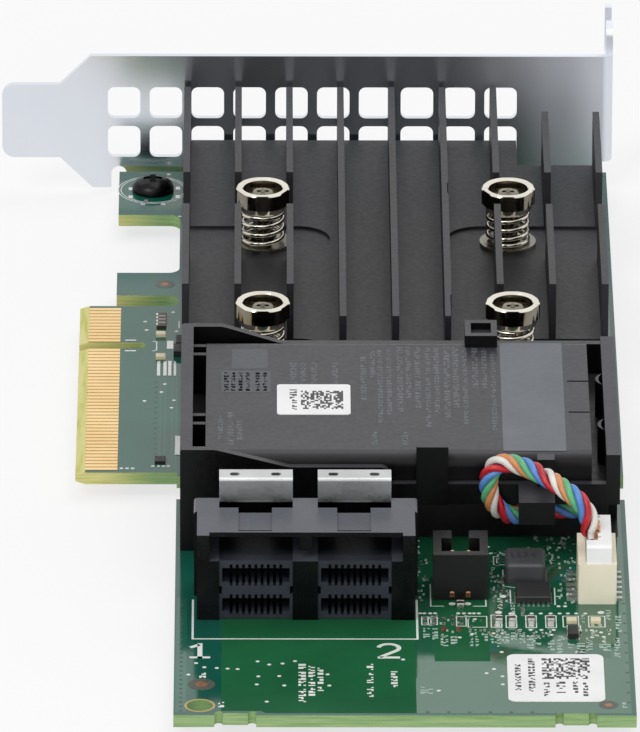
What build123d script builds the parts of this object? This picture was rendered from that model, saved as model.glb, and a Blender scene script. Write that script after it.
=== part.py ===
from build123d import *
import math
import os

# Low-profile storage controller card, in millimetres.
# X runs up from the lower edge of the edge connector, Y towards the bracket from the middle of
# the connector's key notch, and Z out of the component side. Z = 0 is the board's upper face.

# Circuit board
board_thickness = 1.57
board_length = 167.65
board_back = 56.82
board_front = board_back - board_length
board_left = 12.55
board_right = 67.85
ear_left = 4.58
ear_front = 42.37
hook_back = 23.38
hook_front = 16.03
notch_radius = 1.5
side_notch_back = -40.75
side_notch_length = 6.9
side_notch_depth = 1.2
breakoff_depth = 0.6
breakoff_length = 5.0
breakoff_centres = (19.95, 60.65)
breakoff_hole_radius = 0.5
corner_hole_place = (15.7, -108.1)
corner_hole_radius = 1.55

# Edge connector, eight lanes
tongue_back = 12.6
tongue_front = -39.6
key_width = 1.9
key_depth = 8.44
bevel_length = 1.2
bevel_drop = 0.4
finger_width = 0.7
finger_length = 4.0
finger_pitch = 1.0
finger_thickness = 0.05
fingers_behind_key = 11
fingers_before_key = 38
key_to_finger = 1.5

# Bracket
sheet = 0.86
board_to_bracket = 0.96
plate_low = -2.57
plate_width = 18.42
plate_end = 68.62
tab_end = -10.65
tab_low = 1.63
tab_width = 10.19
tab_corner = 1.6
shoulder_start = -3.15
bend_inside = 0.44
screw_tab_length = 11.43
screw_tab_overhang = 3.05
screw_slot_width = 4.42
screw_slot_from_front = 7.22
screw_slot_depth = 5.0
vent_size = (4.22, 4.33)
vent_pitch = (5.433, 5.45)
vent_first = (5.18, 3.875)
vent_columns = 10
vent_rows = 2
vent_corner = 0.9
foot_reach = 10.5
foot_bend = 0.5
foot_spans = ((5.5, 14.0), (57.0, 65.6))
relief_width = 2.0
relief_top = 0.4
relief_land = 0.7

# Bracket screws
bracket_screw_places = ((8.97, 50.68), (61.5, 52.1))
bracket_screw_radius = 1.45
bracket_head_radius = 2.75
bracket_head_height = 1.9
bracket_head_chamfer = 0.76
bracket_hole_play = 0.15
foot_hole_play = 0.05
cross_width = 0.8
cross_length = 3.2
cross_depth = 1.1

# Heatsink
sink_left = 13.03
sink_bottom = 2.4
sink_base_top = 4.5
fin_top = 12.0
fin_thickness = 0.85
fin_pitch = 6.595
fin_count = 9
sink_back = 56.75
sink_corner_back = 48.45
sink_corner_left = 56.1
sink_front = -19.3
outer_fin_front = -8.1
middle_fin_front = -18.3
middle_fins = (3, 4, 5)
short_fins = (7, 8)
pocket_depth = 0.35
pocket_back = 28.15
pocket_front = 17.8
pocket_left_reach = 8.6
pocket_right_reach = 7.8
pocket_corner = 4.2

# Spring screws
spring_screw_x = (23.2, 54.5)
spring_screw_y = (23.2, -13.7)
screw_shaft_radius = 1.25
screw_hole_radius = 1.6
screw_head_radius = 3.4
screw_head_flats = 6.42
screw_head_height = 3.0
screw_taper_height = 0.9
screw_taper_radius = 2.9
screw_cup_radius = 2.5
screw_cup_depth = 1.5
screw_post_radius = 0.8
screw_post_drop = 0.6
washer_radius = 3.6
washer_thickness = 0.5
spring_radius = 2.55
spring_wire = 0.6
spring_turns = 4
spring_groove = 0.42
spring_slope = 0.18
nut_across_flats = 5.5
nut_height = 2.0
nut_clearance = 0.03

# Chips below the heatsink
controller_size = 27.0
controller_height = 1.9
controller_chamfer = 0.3
controller_pad_size = 20.25
memory_size = (9.0, 11.5)
memory_height = 1.2
memory_pitch = 10.3
memory_count = 5
memory_y = 39.6
memory_pad_margin = 0.5

# Battery pack and tray
pack_left = 16.2
pack_right = 63.4
pack_back = -26.7
pack_front = -62.0
pack_bottom = 7.2
pack_top = 12.4
pack_edge = 1.6
pack_groove_width = 0.35
pack_groove_depth = 0.25
pack_groove_length = 2.6
pack_groove_places = (-39.5, -49.0)
tray_left = 13.1
tray_right = 66.85
tray_back = -24.15
tray_floor_bottom = 6.3
tray_wall = 1.05
tray_clearance = 0.1
tray_high_top = 13.5
tray_low_top = 11.2
tray_front_low_top = 9.0
high_end_front = 17.4
low_start_front = 26.4
rail_end_front = 38.9
high_end_back = 18.2
low_start_back = 25.6
tray_slope_radius = 3.0
rail_end_corner = 1.4
tray_corner = 0.6
side_bar_width = 1.5
right_bar_width = 1.7
right_bar_top = 12.9
tray_rib_places = (-28.6, -31.2, -49.9, -52.5)
tray_rib_width = 0.8
tray_leg_width = 2.2
tray_leg_places = ((14.2, -62.05), (14.2, -25.9), (65.7, -31.0), (65.7, -52.0))
tray_peg_radius = 0.9
clip_top = 14.0
back_clip_left = 48.3
back_clip_width = 4.0
back_clip_reach = 5.0
clip_recess_size = (2.5, 3.1)
clip_recess_depth = 0.9
front_clip_left = 41.95
front_clip_width = 3.9
front_clip_stand = 0.25
front_clip_reach = 1.2
front_clip_fall = 0.9
cable_hook_left = 54.4
cable_hook_width = 4.4
cable_hook_reach = 5.7
cable_hook_bottom = 6.1
cable_hook_top = 9.04
cable_horn_width = 2.1
cable_horn_stand = 0.8
cable_horn_top = 12.6
spring_finger_places = (-37.9, -51.8)
spring_finger_half = 1.7
spring_finger_bulge = 0.85
spring_finger_sheet = 0.4
spring_finger_drop = 0.4
outlet_size = (3.5, 3.6, 3.9)

# Battery lead
lead_diameter = 2.7
lead_sides = 10
lead_route = [
    (62.0, -59.8, 4.2),
    (59.0, -59.8, 4.2),
    (56.1, -62.0, 4.1),
    (53.3, -65.0, 4.4),
    (51.4, -65.8, 7.5),
    (51.3, -65.4, 10.8),
    (52.8, -64.9, 13.0),
    (55.6, -65.2, 13.0),
    (58.4, -68.0, 12.5),
    (60.4, -70.8, 12.3),
    (62.2, -72.9, 11.3),
    (63.0, -73.7, 9.8),
    (63.0, -73.7, 7.7),
]

# Battery socket and plug
socket_left = 61.47
socket_right = 66.15
socket_front = -78.8
socket_length = 9.4
socket_height = 5.28
socket_wall = 0.95
socket_thin_wall = 0.57
socket_floor = 0.9
socket_corner = 0.3
plug_clearance = 0.06
plug_top = lead_route[-1][2]
plug_ledge_top = 6.0
plug_ledge_width = 1.4
plug_cap_front = -78.6
plug_cap_length = 1.75
plug_cap_bevel = 0.35
plug_slot_first = -75.9
plug_slot_pitch = 1.5
plug_slots = 5
plug_slot_width = 0.6
plug_slot_depth = 0.35
socket_lead_first = -77.1
socket_lead_pitch = 1.5
socket_lead_count = 6
socket_lead_width = 0.6
socket_lead_reach = (1.35, 0.75)
socket_lead_thickness = 0.2

# Double port
port_left = 15.25
port_right = 41.64
port_back = -72.35
port_front = -83.5
port_top = 11.2
port_roof = 0.6
roof_setback = 0.95
port_pitch = 11.96
wing_stand = 0.4
wing_length = 4.05
wing_round = 0.39
pillar_width = 1.5
pillar_step = 8.1
upper_cavity_floor = 7.8
upper_cavity_back = -75.6
rib_width = 1.45
rib_bottom = 8.9
block_left = 17.92
block_width = 8.92
block_bottom = 0.08
block_top = 7.77
block_front = -83.2
block_back = -76.2
block_waist = (3.35, 4.35)
block_waist_depth = 0.35
card_slots = ((1.08, 2.79), (4.93, 6.77))
card_slot_width = 8.16
card_slot_depth = 5.2
comb_count = 9
comb_pitch = 0.75
comb_width = 0.36
comb_depth = 0.5
comb_length = 4.4
contact_height = 0.24
contact_setback = 0.3
latch_left = 2.34
latch_width = 4.06
latch_notch_front = -76.07
latch_front = -81.25
latch_slot = 0.89
latch_sink = 0.3
latch_back = 1.0
latch_slot_depth = 0.7

# Cover plates behind the ports
plate_sheet = 0.4
cover_well = (-75.2, -73.0)
cover_bottom = 5.0
cover_top = 14.25
cover_lip_back = -70.67
cover_bend = 0.35
cover_slot_size = (1.2, 0.9)
cover_slot_centres = (1.9, 6.9)

# Jumper header
header_left = 43.9
header_width = 6.65
header_front = -77.55
header_length = 6.75
header_height = 6.24
header_wall = 1.0
header_cavity_depth = 5.2
header_front_wall = 0.6
header_back_wall = 2.3
header_key_width = 2.1
header_chamfer = 0.25
jumper_pin_size = 0.64
jumper_pin_pitch = 2.0
jumper_pin_y = -74.9
jumper_pin_top = 5.4
jumper_pin_bevel = 0.18

# Power parts
inductor_centre = (55.18, -70.18)
inductor_size = (4.85, 5.35, 2.55)
inductor_corner = 0.5
inductor_chamfer = 0.3
regulator_centre = (56.08, -76.4)
regulator_size = (4.25, 4.4, 0.9)
regulator_leads = 7
regulator_pitch = 0.6
regulator_foot = 0.15
regulator_chamfer = 0.12
regulator_lead_size = (0.27, 1.3)

# Small surface parts: places and sizes in X, Y and Z, and bevel as a share of the least size
surface_part_bevel = 0.12
capacitor_places = ((51.8, -84.0), (53.4, -84.0), (55.7, -84.0), (58.1, -84.0), (47.2, -79.6))
capacitor_size = (0.8, 1.25, 0.7)
cream_part_places = ((60.6, -84.0), (63.5, -84.0), (10.33, 3.1), (10.35, -4.0))
cream_part_size = (1.25, 1.0, 0.5)
array_place = (10.38, 7.4)
array_size = (1.2, 4.2, 0.45)
transistor_place = (60.7, -87.7)
transistor_size = (1.3, 2.4, 0.8)
logic_place = (10.48, -36.1)
logic_size = (1.35, 1.6, 0.4)
side_chip_places = ((12.9, 0.3), (12.65, -2.5))
side_chip_size = (1.4, 2.4, 0.9)

# Labels
label_thickness = 0.1
board_label_x = (52.6, 64.2)
board_label_y = (-107.0, -93.5)
board_label_corner = 1.0
pack_label_x = (24.95, 34.0)
pack_label_y = (-50.0, -40.8)
pack_label_corner = 0.5
side_label_x = (12.3, 13.5)
side_label_y = (-34.2, -28.5)


def block(x, y, z, mode=Mode.ADD):
    """A box between two limits on each axis, in the part being built."""
    with Locations(((x[0] + x[1]) / 2, (y[0] + y[1]) / 2, (z[0] + z[1]) / 2)):
        Box(x[1] - x[0], y[1] - y[0], z[1] - z[0], mode=mode)


def standing(y):
    """A plane across the card at y, seen from the front: local x is X and local y is Z."""
    return Plane(origin=(0, y, 0), x_dir=(1, 0, 0), z_dir=(0, -1, 0))


def lengthwise(x):
    """A plane along the card at x: local x is Y and local y is Z."""
    return Plane(origin=(x, 0, 0), x_dir=(0, 1, 0), z_dir=(1, 0, 0))


def corners_at(sketch, points):
    """The sketch's vertices that lie at the given points."""
    return [
        v
        for v in sketch.vertices()
        if any(abs(v.X - p[0]) < 0.01 and abs(v.Y - p[1]) < 0.01 for p in points)
    ]


def save(builder, name):
    """Labels a finished piece and writes its file."""
    builder.part.label = name
    export_step(builder.part, f"parts/{name}.step")


os.makedirs("parts", exist_ok=True)

board_bottom = -board_thickness
board_middle_x = (board_left + board_right) / 2
screw_places = [(x, y) for x in spring_screw_x for y in spring_screw_y]
screw_middle = (sum(spring_screw_x) / 2, sum(spring_screw_y) / 2)
retention_slot = hook_front - tongue_back

# Circuit board
with BuildPart() as circuit_board:
    with BuildSketch() as board_outline:
        with Locations((board_middle_x, (board_front + board_back) / 2)):
            Rectangle(board_right - board_left, board_length)
        with Locations((board_left, ear_front)):
            Rectangle(board_left - ear_left, board_back - ear_front, align=(Align.MAX, Align.MIN))
        with Locations((board_left, tongue_back)):
            Rectangle(board_left - ear_left, hook_back - tongue_back, align=(Align.MAX, Align.MIN))
        with Locations((board_left, tongue_front)):
            Rectangle(board_left, tongue_back - tongue_front, align=(Align.MAX, Align.MIN))
        inner = [(board_left, ear_front), (board_left, hook_back)]
        fillet(corners_at(board_outline, inner), radius=notch_radius)
        slot_end = board_left - retention_slot / 2
        with Locations((slot_end, tongue_back + retention_slot / 2)):
            Circle(retention_slot / 2, mode=Mode.SUBTRACT)
            Rectangle(slot_end, retention_slot, align=(Align.MAX, Align.CENTER), mode=Mode.SUBTRACT)
        with Locations((key_depth - key_width / 2, 0)):
            Circle(key_width / 2, mode=Mode.SUBTRACT)
            Rectangle(key_depth, key_width, align=(Align.MAX, Align.CENTER), mode=Mode.SUBTRACT)
        notch_middle = side_notch_back - side_notch_length / 2
        with Locations((board_left, notch_middle), (board_right, notch_middle)):
            RectangleRounded(
                2 * side_notch_depth, side_notch_length, side_notch_depth * 0.4, mode=Mode.SUBTRACT
            )
        for x in breakoff_centres:
            with Locations((x, board_front)):
                Rectangle(breakoff_length, 2 * breakoff_depth, mode=Mode.SUBTRACT)
            half = breakoff_length / 2 - breakoff_hole_radius
            hole_y = board_front + breakoff_depth
            with Locations((x - half, hole_y), (x + half, hole_y)):
                Circle(breakoff_hole_radius, mode=Mode.SUBTRACT)
        with Locations(corner_hole_place):
            Circle(corner_hole_radius, mode=Mode.SUBTRACT)
        with Locations(*screw_places):
            Circle(screw_hole_radius, mode=Mode.SUBTRACT)
        with Locations(*bracket_screw_places):
            Circle(bracket_screw_radius + bracket_hole_play, mode=Mode.SUBTRACT)
        with Locations(*tray_leg_places):
            Circle(tray_peg_radius + tray_clearance / 2, mode=Mode.SUBTRACT)
    extrude(amount=-board_thickness)
    for side in (0, 1):
        with BuildSketch(standing(tongue_back)):
            with BuildLine():
                edge = -side * board_thickness
                drop = bevel_drop * (2 * side - 1)
                Polyline((0, edge), (bevel_length, edge), (0, edge + drop), close=True)
            make_face()
        extrude(amount=tongue_back - tongue_front, mode=Mode.SUBTRACT)
save(circuit_board, "circuit_board")

# Gold fingers on both faces of the tongue
with BuildPart() as edge_contacts:
    behind = [key_to_finger + n * finger_pitch for n in range(fingers_behind_key)]
    before = [-key_to_finger - n * finger_pitch for n in range(fingers_before_key)]
    finger_x = bevel_length + finger_length / 2
    for height in (0, board_bottom - finger_thickness):
        with BuildSketch(Plane.XY.offset(height)):
            with Locations(*[(finger_x, y) for y in behind + before]):
                Rectangle(finger_length, finger_width)
        extrude(amount=finger_thickness)
save(edge_contacts, "edge_contacts")

# Bracket: perforated plate with a tongue tab, a screw tab and two feet below the board
plate_front = board_back + board_to_bracket
plate_high = plate_low + plate_width
bend_centre_x = plate_end - sheet - bend_inside
bend_centre_y = plate_front + sheet + bend_inside
foot_top = board_bottom
foot_bend_z = foot_top + foot_bend
screw_tab_back = plate_front + screw_tab_length
screw_tab_top = plate_high + screw_tab_overhang
screw_slot_y = plate_front + screw_slot_from_front
screw_tab_foot = relief_top + relief_land
with BuildPart() as bracket:
    with BuildSketch(standing(plate_front)) as plate_outline:
        tab_high = tab_low + tab_width
        rise = plate_high - tab_high
        fall = tab_low - plate_low
        with BuildLine():
            Polyline(
                (tab_end, tab_low),
                (shoulder_start, tab_low),
                (shoulder_start + fall, plate_low),
                (bend_centre_x, plate_low),
                (bend_centre_x, plate_high),
                (shoulder_start + rise, plate_high),
                (shoulder_start, tab_high),
                (tab_end, tab_high),
                close=True,
            )
        make_face()
        fillet(corners_at(plate_outline, [(tab_end, tab_low), (tab_end, tab_high)]), radius=tab_corner)
        middle_vent = (
            vent_first[0] + vent_pitch[0] * (vent_columns - 1) / 2,
            vent_first[1] + vent_pitch[1] * (vent_rows - 1) / 2,
        )
        with Locations(middle_vent):
            with GridLocations(*vent_pitch, vent_columns, vent_rows):
                RectangleRounded(*vent_size, vent_corner, mode=Mode.SUBTRACT)
        for start, end in foot_spans:
            with Locations((start - relief_width, plate_low)):
                Rectangle(
                    end - start + 2 * relief_width,
                    foot_bend_z - plate_low,
                    align=(Align.MIN, Align.MIN),
                    mode=Mode.SUBTRACT,
                )
            reliefs = (start - relief_width / 2, end + relief_width / 2)
            with Locations(*[(x, relief_top - relief_width / 2) for x in reliefs]):
                Circle(relief_width / 2, mode=Mode.SUBTRACT)
            with Locations(*[(x, plate_low) for x in reliefs]):
                Rectangle(
                    relief_width,
                    relief_top - relief_width / 2 - plate_low,
                    align=(Align.CENTER, Align.MIN),
                    mode=Mode.SUBTRACT,
                )
        with Locations((bend_centre_x, plate_low)):
            Rectangle(
                relief_width / 2,
                screw_tab_foot - plate_low,
                align=(Align.MAX, Align.MIN),
                mode=Mode.SUBTRACT,
            )
    extrude(amount=-sheet)
    with BuildSketch(Plane.XY.offset(screw_tab_foot)):
        with Locations((bend_centre_x, bend_centre_y)):
            Circle(sheet + bend_inside)
            Circle(bend_inside, mode=Mode.SUBTRACT)
            size = 2 * (sheet + bend_inside)
            Rectangle(size, size, align=(Align.MAX, Align.CENTER), mode=Mode.SUBTRACT)
            Rectangle(size, size, align=(Align.CENTER, Align.MIN), mode=Mode.SUBTRACT)
    extrude(amount=plate_high - screw_tab_foot)
    with BuildSketch(lengthwise(plate_end - sheet)) as screw_tab:
        with Locations((bend_centre_y, screw_tab_foot)):
            Rectangle(
                screw_tab_back - bend_centre_y, screw_tab_top - screw_tab_foot, align=(Align.MIN, Align.MIN)
            )
        far = [
            (screw_tab_back, screw_tab_foot),
            (screw_tab_back, screw_tab_top),
            (bend_centre_y, screw_tab_top),
        ]
        fillet(corners_at(screw_tab, far), radius=sheet)
        with Locations((screw_slot_y, screw_tab_top - screw_slot_depth)):
            Circle(screw_slot_width / 2, mode=Mode.SUBTRACT)
            Rectangle(
                screw_slot_width, screw_slot_depth, align=(Align.CENTER, Align.MIN), mode=Mode.SUBTRACT
            )
    extrude(amount=sheet)
    for start, end in foot_spans:
        with BuildSketch(lengthwise(start)):
            bend_y = plate_front - foot_bend
            with Locations((bend_y, foot_bend_z)):
                Circle(sheet + foot_bend)
                Circle(foot_bend, mode=Mode.SUBTRACT)
                size = 2 * (sheet + foot_bend)
                Rectangle(size, size, align=(Align.MAX, Align.CENTER), mode=Mode.SUBTRACT)
                Rectangle(size, size, align=(Align.CENTER, Align.MIN), mode=Mode.SUBTRACT)
            with Locations((bend_y, foot_top)):
                Rectangle(foot_reach, sheet, align=(Align.MAX, Align.MAX))
        extrude(amount=end - start)
    with Locations(*[(x, y, foot_top) for x, y in bracket_screw_places]):
        Hole(bracket_screw_radius + foot_hole_play)
save(bracket, "bracket")

# Pan-head screws that hold the board to the bracket's feet
with BuildPart() as bracket_screws:
    with BuildSketch(Plane.XY.offset(foot_top - sheet)):
        with Locations(*bracket_screw_places):
            Circle(bracket_screw_radius)
    extrude(amount=board_thickness + sheet)
    with BuildSketch(Plane.XY):
        with Locations(*bracket_screw_places):
            Circle(bracket_head_radius)
    extrude(amount=bracket_head_height)
    rims = bracket_screws.edges().filter_by(GeomType.CIRCLE).group_by(Axis.Z)[-1]
    chamfer(rims, length=bracket_head_chamfer)
    with BuildSketch(Plane.XY.offset(bracket_head_height - cross_depth)):
        with Locations(*bracket_screw_places):
            Rectangle(cross_width, cross_length)
            Rectangle(cross_length, cross_width)
    extrude(amount=cross_depth, mode=Mode.SUBTRACT)
save(bracket_screws, "bracket_screws")

# Heatsink: base plate, straight fins and four milled pockets for the spring screws
sink_width = fin_pitch * (fin_count - 1) + fin_thickness
sink_right = sink_left + sink_width
pocket_floor = sink_base_top - pocket_depth
with BuildPart() as heatsink:
    with BuildSketch(Plane.XY.offset(sink_bottom)):
        with Locations((sink_left, sink_front)):
            Rectangle(sink_width, sink_back - sink_front, align=(Align.MIN, Align.MIN))
        with Locations((sink_corner_left, sink_corner_back)):
            Rectangle(
                sink_right - sink_corner_left,
                sink_back - sink_corner_back,
                align=(Align.MIN, Align.MIN),
                mode=Mode.SUBTRACT,
            )
    extrude(amount=sink_base_top - sink_bottom)
    with BuildSketch(Plane.XY.offset(sink_base_top)):
        for n in range(fin_count):
            back = sink_corner_back if n in short_fins else sink_back
            front = middle_fin_front if n in middle_fins else outer_fin_front
            with Locations((sink_left + n * fin_pitch, front)):
                Rectangle(fin_thickness, back - front, align=(Align.MIN, Align.MIN))
    extrude(amount=fin_top - sink_base_top)
    pocket_rows = ((pocket_front, pocket_back), (sink_front - pocket_corner, outer_fin_front))
    with BuildSketch(Plane.XY.offset(pocket_floor)):
        for front, back in pocket_rows:
            left_pocket = (sink_left - pocket_corner, spring_screw_x[0] + pocket_left_reach)
            right_pocket = (spring_screw_x[1] - pocket_right_reach, sink_right + pocket_corner)
            for start, end in (left_pocket, right_pocket):
                with Locations(((start + end) / 2, (front + back) / 2)):
                    RectangleRounded(end - start, back - front, pocket_corner)
    extrude(amount=fin_top - pocket_floor, mode=Mode.SUBTRACT)
    with Locations(*[(x, y, sink_base_top) for x, y in screw_places]):
        Hole(screw_hole_radius)
save(heatsink, "heatsink")

# Spring screws: cupped heads with six flats over long shafts
washer_top = pocket_floor + washer_thickness
head_bottom = fin_top - screw_head_height
nut_bottom = board_bottom - nut_height
with BuildPart() as heatsink_screws:
    with BuildSketch(Plane.XY.offset(nut_bottom)):
        with Locations(*screw_places):
            Circle(screw_shaft_radius)
    extrude(amount=head_bottom - nut_bottom)
    head_shoulder = head_bottom + screw_taper_height
    for x, y in screw_places:
        with Locations((x, y, head_bottom)):
            Cone(
                screw_taper_radius,
                screw_head_flats / 2,
                screw_taper_height,
                align=(Align.CENTER, Align.CENTER, Align.MIN),
            )
        with BuildSketch(Plane(origin=(x, y, head_shoulder))):
            Circle(screw_head_radius)
            RegularPolygon(screw_head_flats / 2, 6, major_radius=False, mode=Mode.INTERSECT)
        extrude(amount=fin_top - head_shoulder)
    with BuildSketch(Plane.XY.offset(fin_top - screw_cup_depth)):
        with Locations(*screw_places):
            Circle(screw_cup_radius)
            Circle(screw_post_radius, mode=Mode.SUBTRACT)
    extrude(amount=screw_cup_depth, mode=Mode.SUBTRACT)
    with BuildSketch(Plane.XY.offset(fin_top - screw_post_drop)):
        with Locations(*screw_places):
            Circle(screw_cup_radius)
    extrude(amount=screw_post_drop, mode=Mode.SUBTRACT)
save(heatsink_screws, "heatsink_screws")

# Compression springs between the washers and the heads, with ground ends
spring_height = head_bottom - washer_top
with BuildPart() as heatsink_springs:
    spring_pitch = (spring_height - spring_wire) / (spring_turns - 1)
    spring_inside = spring_radius - spring_wire / 2
    spring_crest = spring_radius + spring_wire / 2
    spring_valley = spring_crest - spring_groove
    turn_profile = []
    for n in range(spring_turns):
        low = n * spring_pitch
        turn_profile += [
            (spring_valley, low),
            (spring_crest, low + spring_slope),
            (spring_crest, low + spring_wire - spring_slope),
            (spring_valley, low + spring_wire),
        ]
    for x, y in screw_places:
        with BuildSketch(Plane(origin=(x, y, washer_top), x_dir=(1, 0, 0), z_dir=(0, -1, 0))):
            with BuildLine():
                Polyline((spring_inside, 0), *turn_profile, (spring_inside, spring_height), close=True)
            make_face()
        revolve(axis=Axis((x, y, 0), (0, 0, 1)))
save(heatsink_springs, "heatsink_springs")

# Washers on the pocket floors
with BuildPart() as heatsink_washers:
    with BuildSketch(Plane.XY.offset(pocket_floor)):
        with Locations(*screw_places):
            Circle(washer_radius)
            Circle(screw_hole_radius, mode=Mode.SUBTRACT)
    extrude(amount=washer_thickness)
save(heatsink_washers, "heatsink_washers")

# Nuts below the board
with BuildPart() as board_nuts:
    with BuildSketch(Plane.XY.offset(nut_bottom)):
        with Locations(*screw_places):
            RegularPolygon(nut_across_flats / 2, 6, major_radius=False)
            Circle(screw_shaft_radius + nut_clearance, mode=Mode.SUBTRACT)
    extrude(amount=nut_height)
save(board_nuts, "board_nuts")

# Controller chip and its thermal pad
with BuildPart() as controller_chip:
    with BuildSketch():
        with Locations(screw_middle):
            Rectangle(controller_size, controller_size)
    extrude(amount=controller_height)
    chamfer(controller_chip.edges().group_by(Axis.Z)[-1], length=controller_chamfer)
save(controller_chip, "controller_chip")

with BuildPart() as controller_thermal_pad:
    with BuildSketch(Plane.XY.offset(controller_height)):
        with Locations(screw_middle):
            Rectangle(controller_pad_size, controller_pad_size)
    extrude(amount=sink_bottom - controller_height)
save(controller_thermal_pad, "controller_thermal_pad")

# Memory chips in a row, with a thermal pad on each
memory_centres = [
    (screw_middle[0] + (n - (memory_count - 1) / 2) * memory_pitch, memory_y) for n in range(memory_count)
]
with BuildPart() as memory_chips:
    with BuildSketch():
        with Locations(*memory_centres):
            Rectangle(*memory_size)
    extrude(amount=memory_height)
save(memory_chips, "memory_chips")

with BuildPart() as memory_thermal_pads:
    with BuildSketch(Plane.XY.offset(memory_height)):
        with Locations(*memory_centres):
            Rectangle(memory_size[0] - 2 * memory_pad_margin, memory_size[1] - 2 * memory_pad_margin)
    extrude(amount=sink_bottom - memory_height)
save(memory_thermal_pads, "memory_thermal_pads")

# Battery pack: a wrapped flat pack with rounded long edges
with BuildPart() as battery_pack:
    with BuildSketch(lengthwise(pack_left)):
        with Locations(((pack_front + pack_back) / 2, (pack_bottom + pack_top) / 2)):
            RectangleRounded(pack_back - pack_front, pack_top - pack_bottom, pack_edge)
    extrude(amount=pack_right - pack_left)
    for y in pack_groove_places:
        block(
            (pack_right - pack_groove_length, pack_right + 1),
            (y - pack_groove_width / 2, y + pack_groove_width / 2),
            (pack_top - pack_groove_depth, pack_top + 1),
            mode=Mode.SUBTRACT,
        )
save(battery_pack, "battery_pack")

with BuildPart() as battery_code_label:
    with BuildSketch(Plane.XY.offset(pack_top)):
        with Locations((sum(pack_label_x) / 2, sum(pack_label_y) / 2)):
            RectangleRounded(
                pack_label_x[1] - pack_label_x[0], pack_label_y[1] - pack_label_y[0], pack_label_corner
            )
    extrude(amount=label_thickness)
save(battery_code_label, "battery_code_label")

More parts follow.
